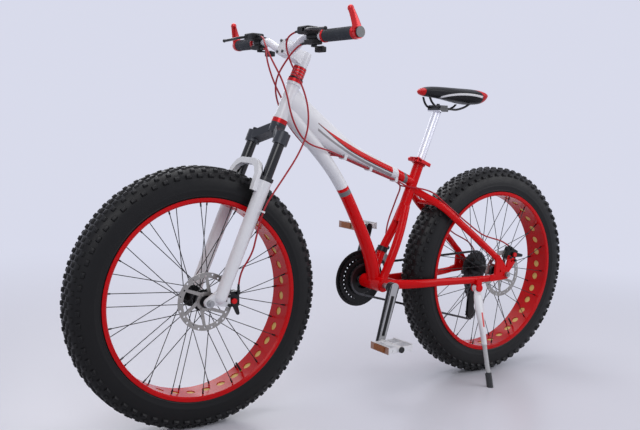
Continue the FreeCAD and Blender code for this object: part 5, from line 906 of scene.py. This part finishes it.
# %% Ferrules and thumb pads
FERRULE = [(0.0, 0.0), (0.0, 0.0036), (0.0085, 0.0036), (0.0095, 0.0031), (0.0160, 0.0029), (0.0160, 0.0)]
PAD_SIZE, PAD_BEVEL = (0.0170, 0.0350, 0.0150), 0.0036
PAD_PLACE = Vector((-0.2636, 0.1350, 1.0420))
all_routes = [front_brake_route, rear_brake_route, rear_gear_route, front_gear_route]
cable_ends = {"steering": [(route[0], route[1]) for route in all_routes],
              "fork_slider": [(front_brake_route[-1], front_brake_route[-2])],
              "frame": [(route[-1], route[-2]) for route in all_routes[1:]]}
for body, ends in cable_ends.items():
    bm = bmesh.new()
    for tip, toward in ends:
        spun_along(bm, FERRULE, Vector(tip), (Vector(toward) - Vector(tip)).normalized(), 20)
    bmesh.ops.recalc_face_normals(bm, faces=bm.faces)
    ferrules = plain_object("ferrules_" + body, bm)
    ferrules.data.materials.append(black_plastic)
    soften(ferrules)
    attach(ferrules, body)
for sign, side_name in ((-1, "left"), (1, "right")):
    bm = bmesh.new()
    bmesh.ops.create_cube(bm, size=1.0)
    bmesh.ops.scale(bm, vec=PAD_SIZE, verts=bm.verts)
    bmesh.ops.bevel(bm, geom=bm.edges[:], offset=PAD_BEVEL, affect="EDGES", segments=3, profile=0.6)
    bmesh.ops.translate(bm, vec=(PAD_PLACE.x, PAD_PLACE.y * sign, PAD_PLACE.z), verts=bm.verts)
    pad = plain_object("thumb_pad_" + side_name, bm)
    pad.data.materials.append(black_plastic)
    soften(pad, 60.0)
    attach(pad, side_name + "_shift_lever")
print("ferrules and thumb pads made")

# %% [markdown]
# The chain is a loop of inner and outer links round the ring, the two wheels of the derailleur and the
# largest sprocket. One inner and one outer link are modelled, and copies are laid from pin to pin. The run
# that reaches the derailleur's sprung arm bends with it, so the loop is cut into three pieces.

# %% Chain
PITCH = 0.0127
LINKS = 118
RING_TEETH, SPROCKET_TEETH, PULLEY_TEETH = 24, 28, 11
PLATE_THICKNESS, PLATE_RADIUS = 0.0009, 0.0042
WAIST_REACH, WAIST_DEPTH = 0.0026, 0.22
INNER_GAP, OUTER_GAP = 0.0013, 0.0023
# Radius and half length of a pin and of a roller
PIN, ROLLER = (0.0016, 0.0036), (0.0039, 0.0014)
ARC_STEPS = 60
CAGE_ANGLE = math.radians(-92.62)


def wheel_radius(teeth):
    return PITCH / (2 * math.sin(math.pi / teeth))


def flat_turn(angle):
    return Vector((math.cos(angle), 0.0, math.sin(angle)))


GUIDE_WHEEL = REAR_AXLE + Vector((-0.0035, 0.0, -0.091))
TENSION_WHEEL = GUIDE_WHEEL + flat_turn(CAGE_ANGLE) * 0.0776
wheels = [(SHELL, wheel_radius(RING_TEETH), 1), (TENSION_WHEEL, wheel_radius(PULLEY_TEETH), 1),
          (GUIDE_WHEEL, wheel_radius(PULLEY_TEETH), -1), (REAR_AXLE, wheel_radius(SPROCKET_TEETH), 1)]
headings = []
for (start, start_radius, start_turn), (end, end_radius, end_turn) in zip(wheels, wheels[1:] + wheels[:1]):
    gap = end - start
    lean = math.asin((end_turn * end_radius - start_turn * start_radius) / gap.length)
    headings.append(math.atan2(gap.z, gap.x) - lean)
loop_line = []
for index, (centre, radius, turn_way) in enumerate(wheels):
    arrive, leave = headings[index - 1], headings[index]
    sweep = (turn_way * (leave - arrive)) % math.tau
    first = arrive - turn_way * math.pi / 2
    loop_line += [centre + flat_turn(first + turn_way * sweep * share / ARC_STEPS) * radius
                  for share in range(ARC_STEPS + 1)]
loop_line.append(loop_line[0])
lengths = [0.0]
for first, second in zip(loop_line, loop_line[1:]):
    lengths.append(lengths[-1] + (second - first).length)


def on_loop(distance):
    """Point at a distance along the chain's loop."""
    index = next(index for index in range(1, len(lengths)) if lengths[index] >= distance)
    share = (distance - lengths[index - 1]) / (lengths[index] - lengths[index - 1])
    return loop_line[index - 1].lerp(loop_line[index], share)


pins = [on_loop(lengths[-1] * index / LINKS) for index in range(LINKS)]
print("chain loop", round(lengths[-1], 4), "m for", LINKS, "links")


def link_mesh(outer):
    """One link: two waisted plates, and the rollers or the pins between them."""
    bm = bmesh.new()
    gap = OUTER_GAP if outer else INNER_GAP
    for y in (-gap - PLATE_THICKNESS, gap):
        plate = bmesh.ops.create_circle(bm, cap_ends=True, segments=16, radius=PLATE_RADIUS)["verts"]
        for vert in plate:
            across, up = vert.co.x, vert.co.y
            waist = 1.0 - WAIST_DEPTH * (1.0 - min(1.0, abs(across) / WAIST_REACH))
            run = across + math.copysign(PITCH / 2, across) if abs(across) > 1e-6 else 0.0
            vert.co = (run, y, up * waist)
        face = {face for vert in plate for face in vert.link_faces}
        raised = bmesh.ops.extrude_face_region(bm, geom=list(face))["geom"]
        lifted = [item for item in raised if isinstance(item, bmesh.types.BMVert)]
        bmesh.ops.translate(bm, vec=(0.0, PLATE_THICKNESS, 0.0), verts=lifted)
    radius, half = PIN if outer else ROLLER
    for x in (-PITCH / 2, PITCH / 2):
        made = bmesh.ops.create_cone(bm, cap_ends=outer, segments=10, radius1=radius, radius2=radius,
                                     depth=2 * half)["verts"]
        bmesh.ops.rotate(bm, cent=(0, 0, 0), matrix=Matrix.Rotation(math.pi / 2, 3, "X"), verts=made)
        bmesh.ops.translate(bm, vec=(x, 0.0, 0.0), verts=made)
    bmesh.ops.recalc_face_normals(bm, faces=bm.faces)
    mesh = bpy.data.meshes.new("link")
    bm.to_mesh(mesh)
    bm.free()
    return mesh


link_kinds = [link_mesh(False), link_mesh(True)]
chain_parts = {"chain_main": bmesh.new(), "chain_return": bmesh.new(), "chain_cage": bmesh.new()}
for index, start in enumerate(pins):
    end = pins[(index + 1) % LINKS]
    middle = (start + end) / 2
    heading = math.atan2((end - start).z, (end - start).x)
    copy = link_kinds[index % 2].copy()
    copy.transform(Matrix.Translation(middle + Vector((0, CHAIN_Y, 0))) @ Matrix.Rotation(-heading, 4, "Y"))
    near_tension = (middle - TENSION_WHEEL).length < 0.026
    beside_guide = abs(middle.x - GUIDE_WHEEL.x) < 0.03
    between_wheels = TENSION_WHEEL.z < middle.z < GUIDE_WHEEL.z - 0.006 and beside_guide
    below = middle.z < SHELL.z - 0.02 and middle.x < TENSION_WHEEL.x
    part = "chain_cage" if near_tension or between_wheels else "chain_return" if below else "chain_main"
    chain_parts[part].from_mesh(copy)
    bpy.data.meshes.remove(copy)
chain_steel = finish("chain_steel", (0.075, 0.075, 0.08), 0.36, 0.1, metallic=0.85, grain=900.0)
for name, bm in chain_parts.items():
    piece = plain_object(name, bm)
    piece.data.materials.append(chain_steel)
    if name == "chain_return":
        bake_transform(piece)
    else:
        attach(piece, "frame" if name == "chain_main" else "chain_tensioner")
    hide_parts("chain")
    print(name, len(piece.data.polygons), "faces")
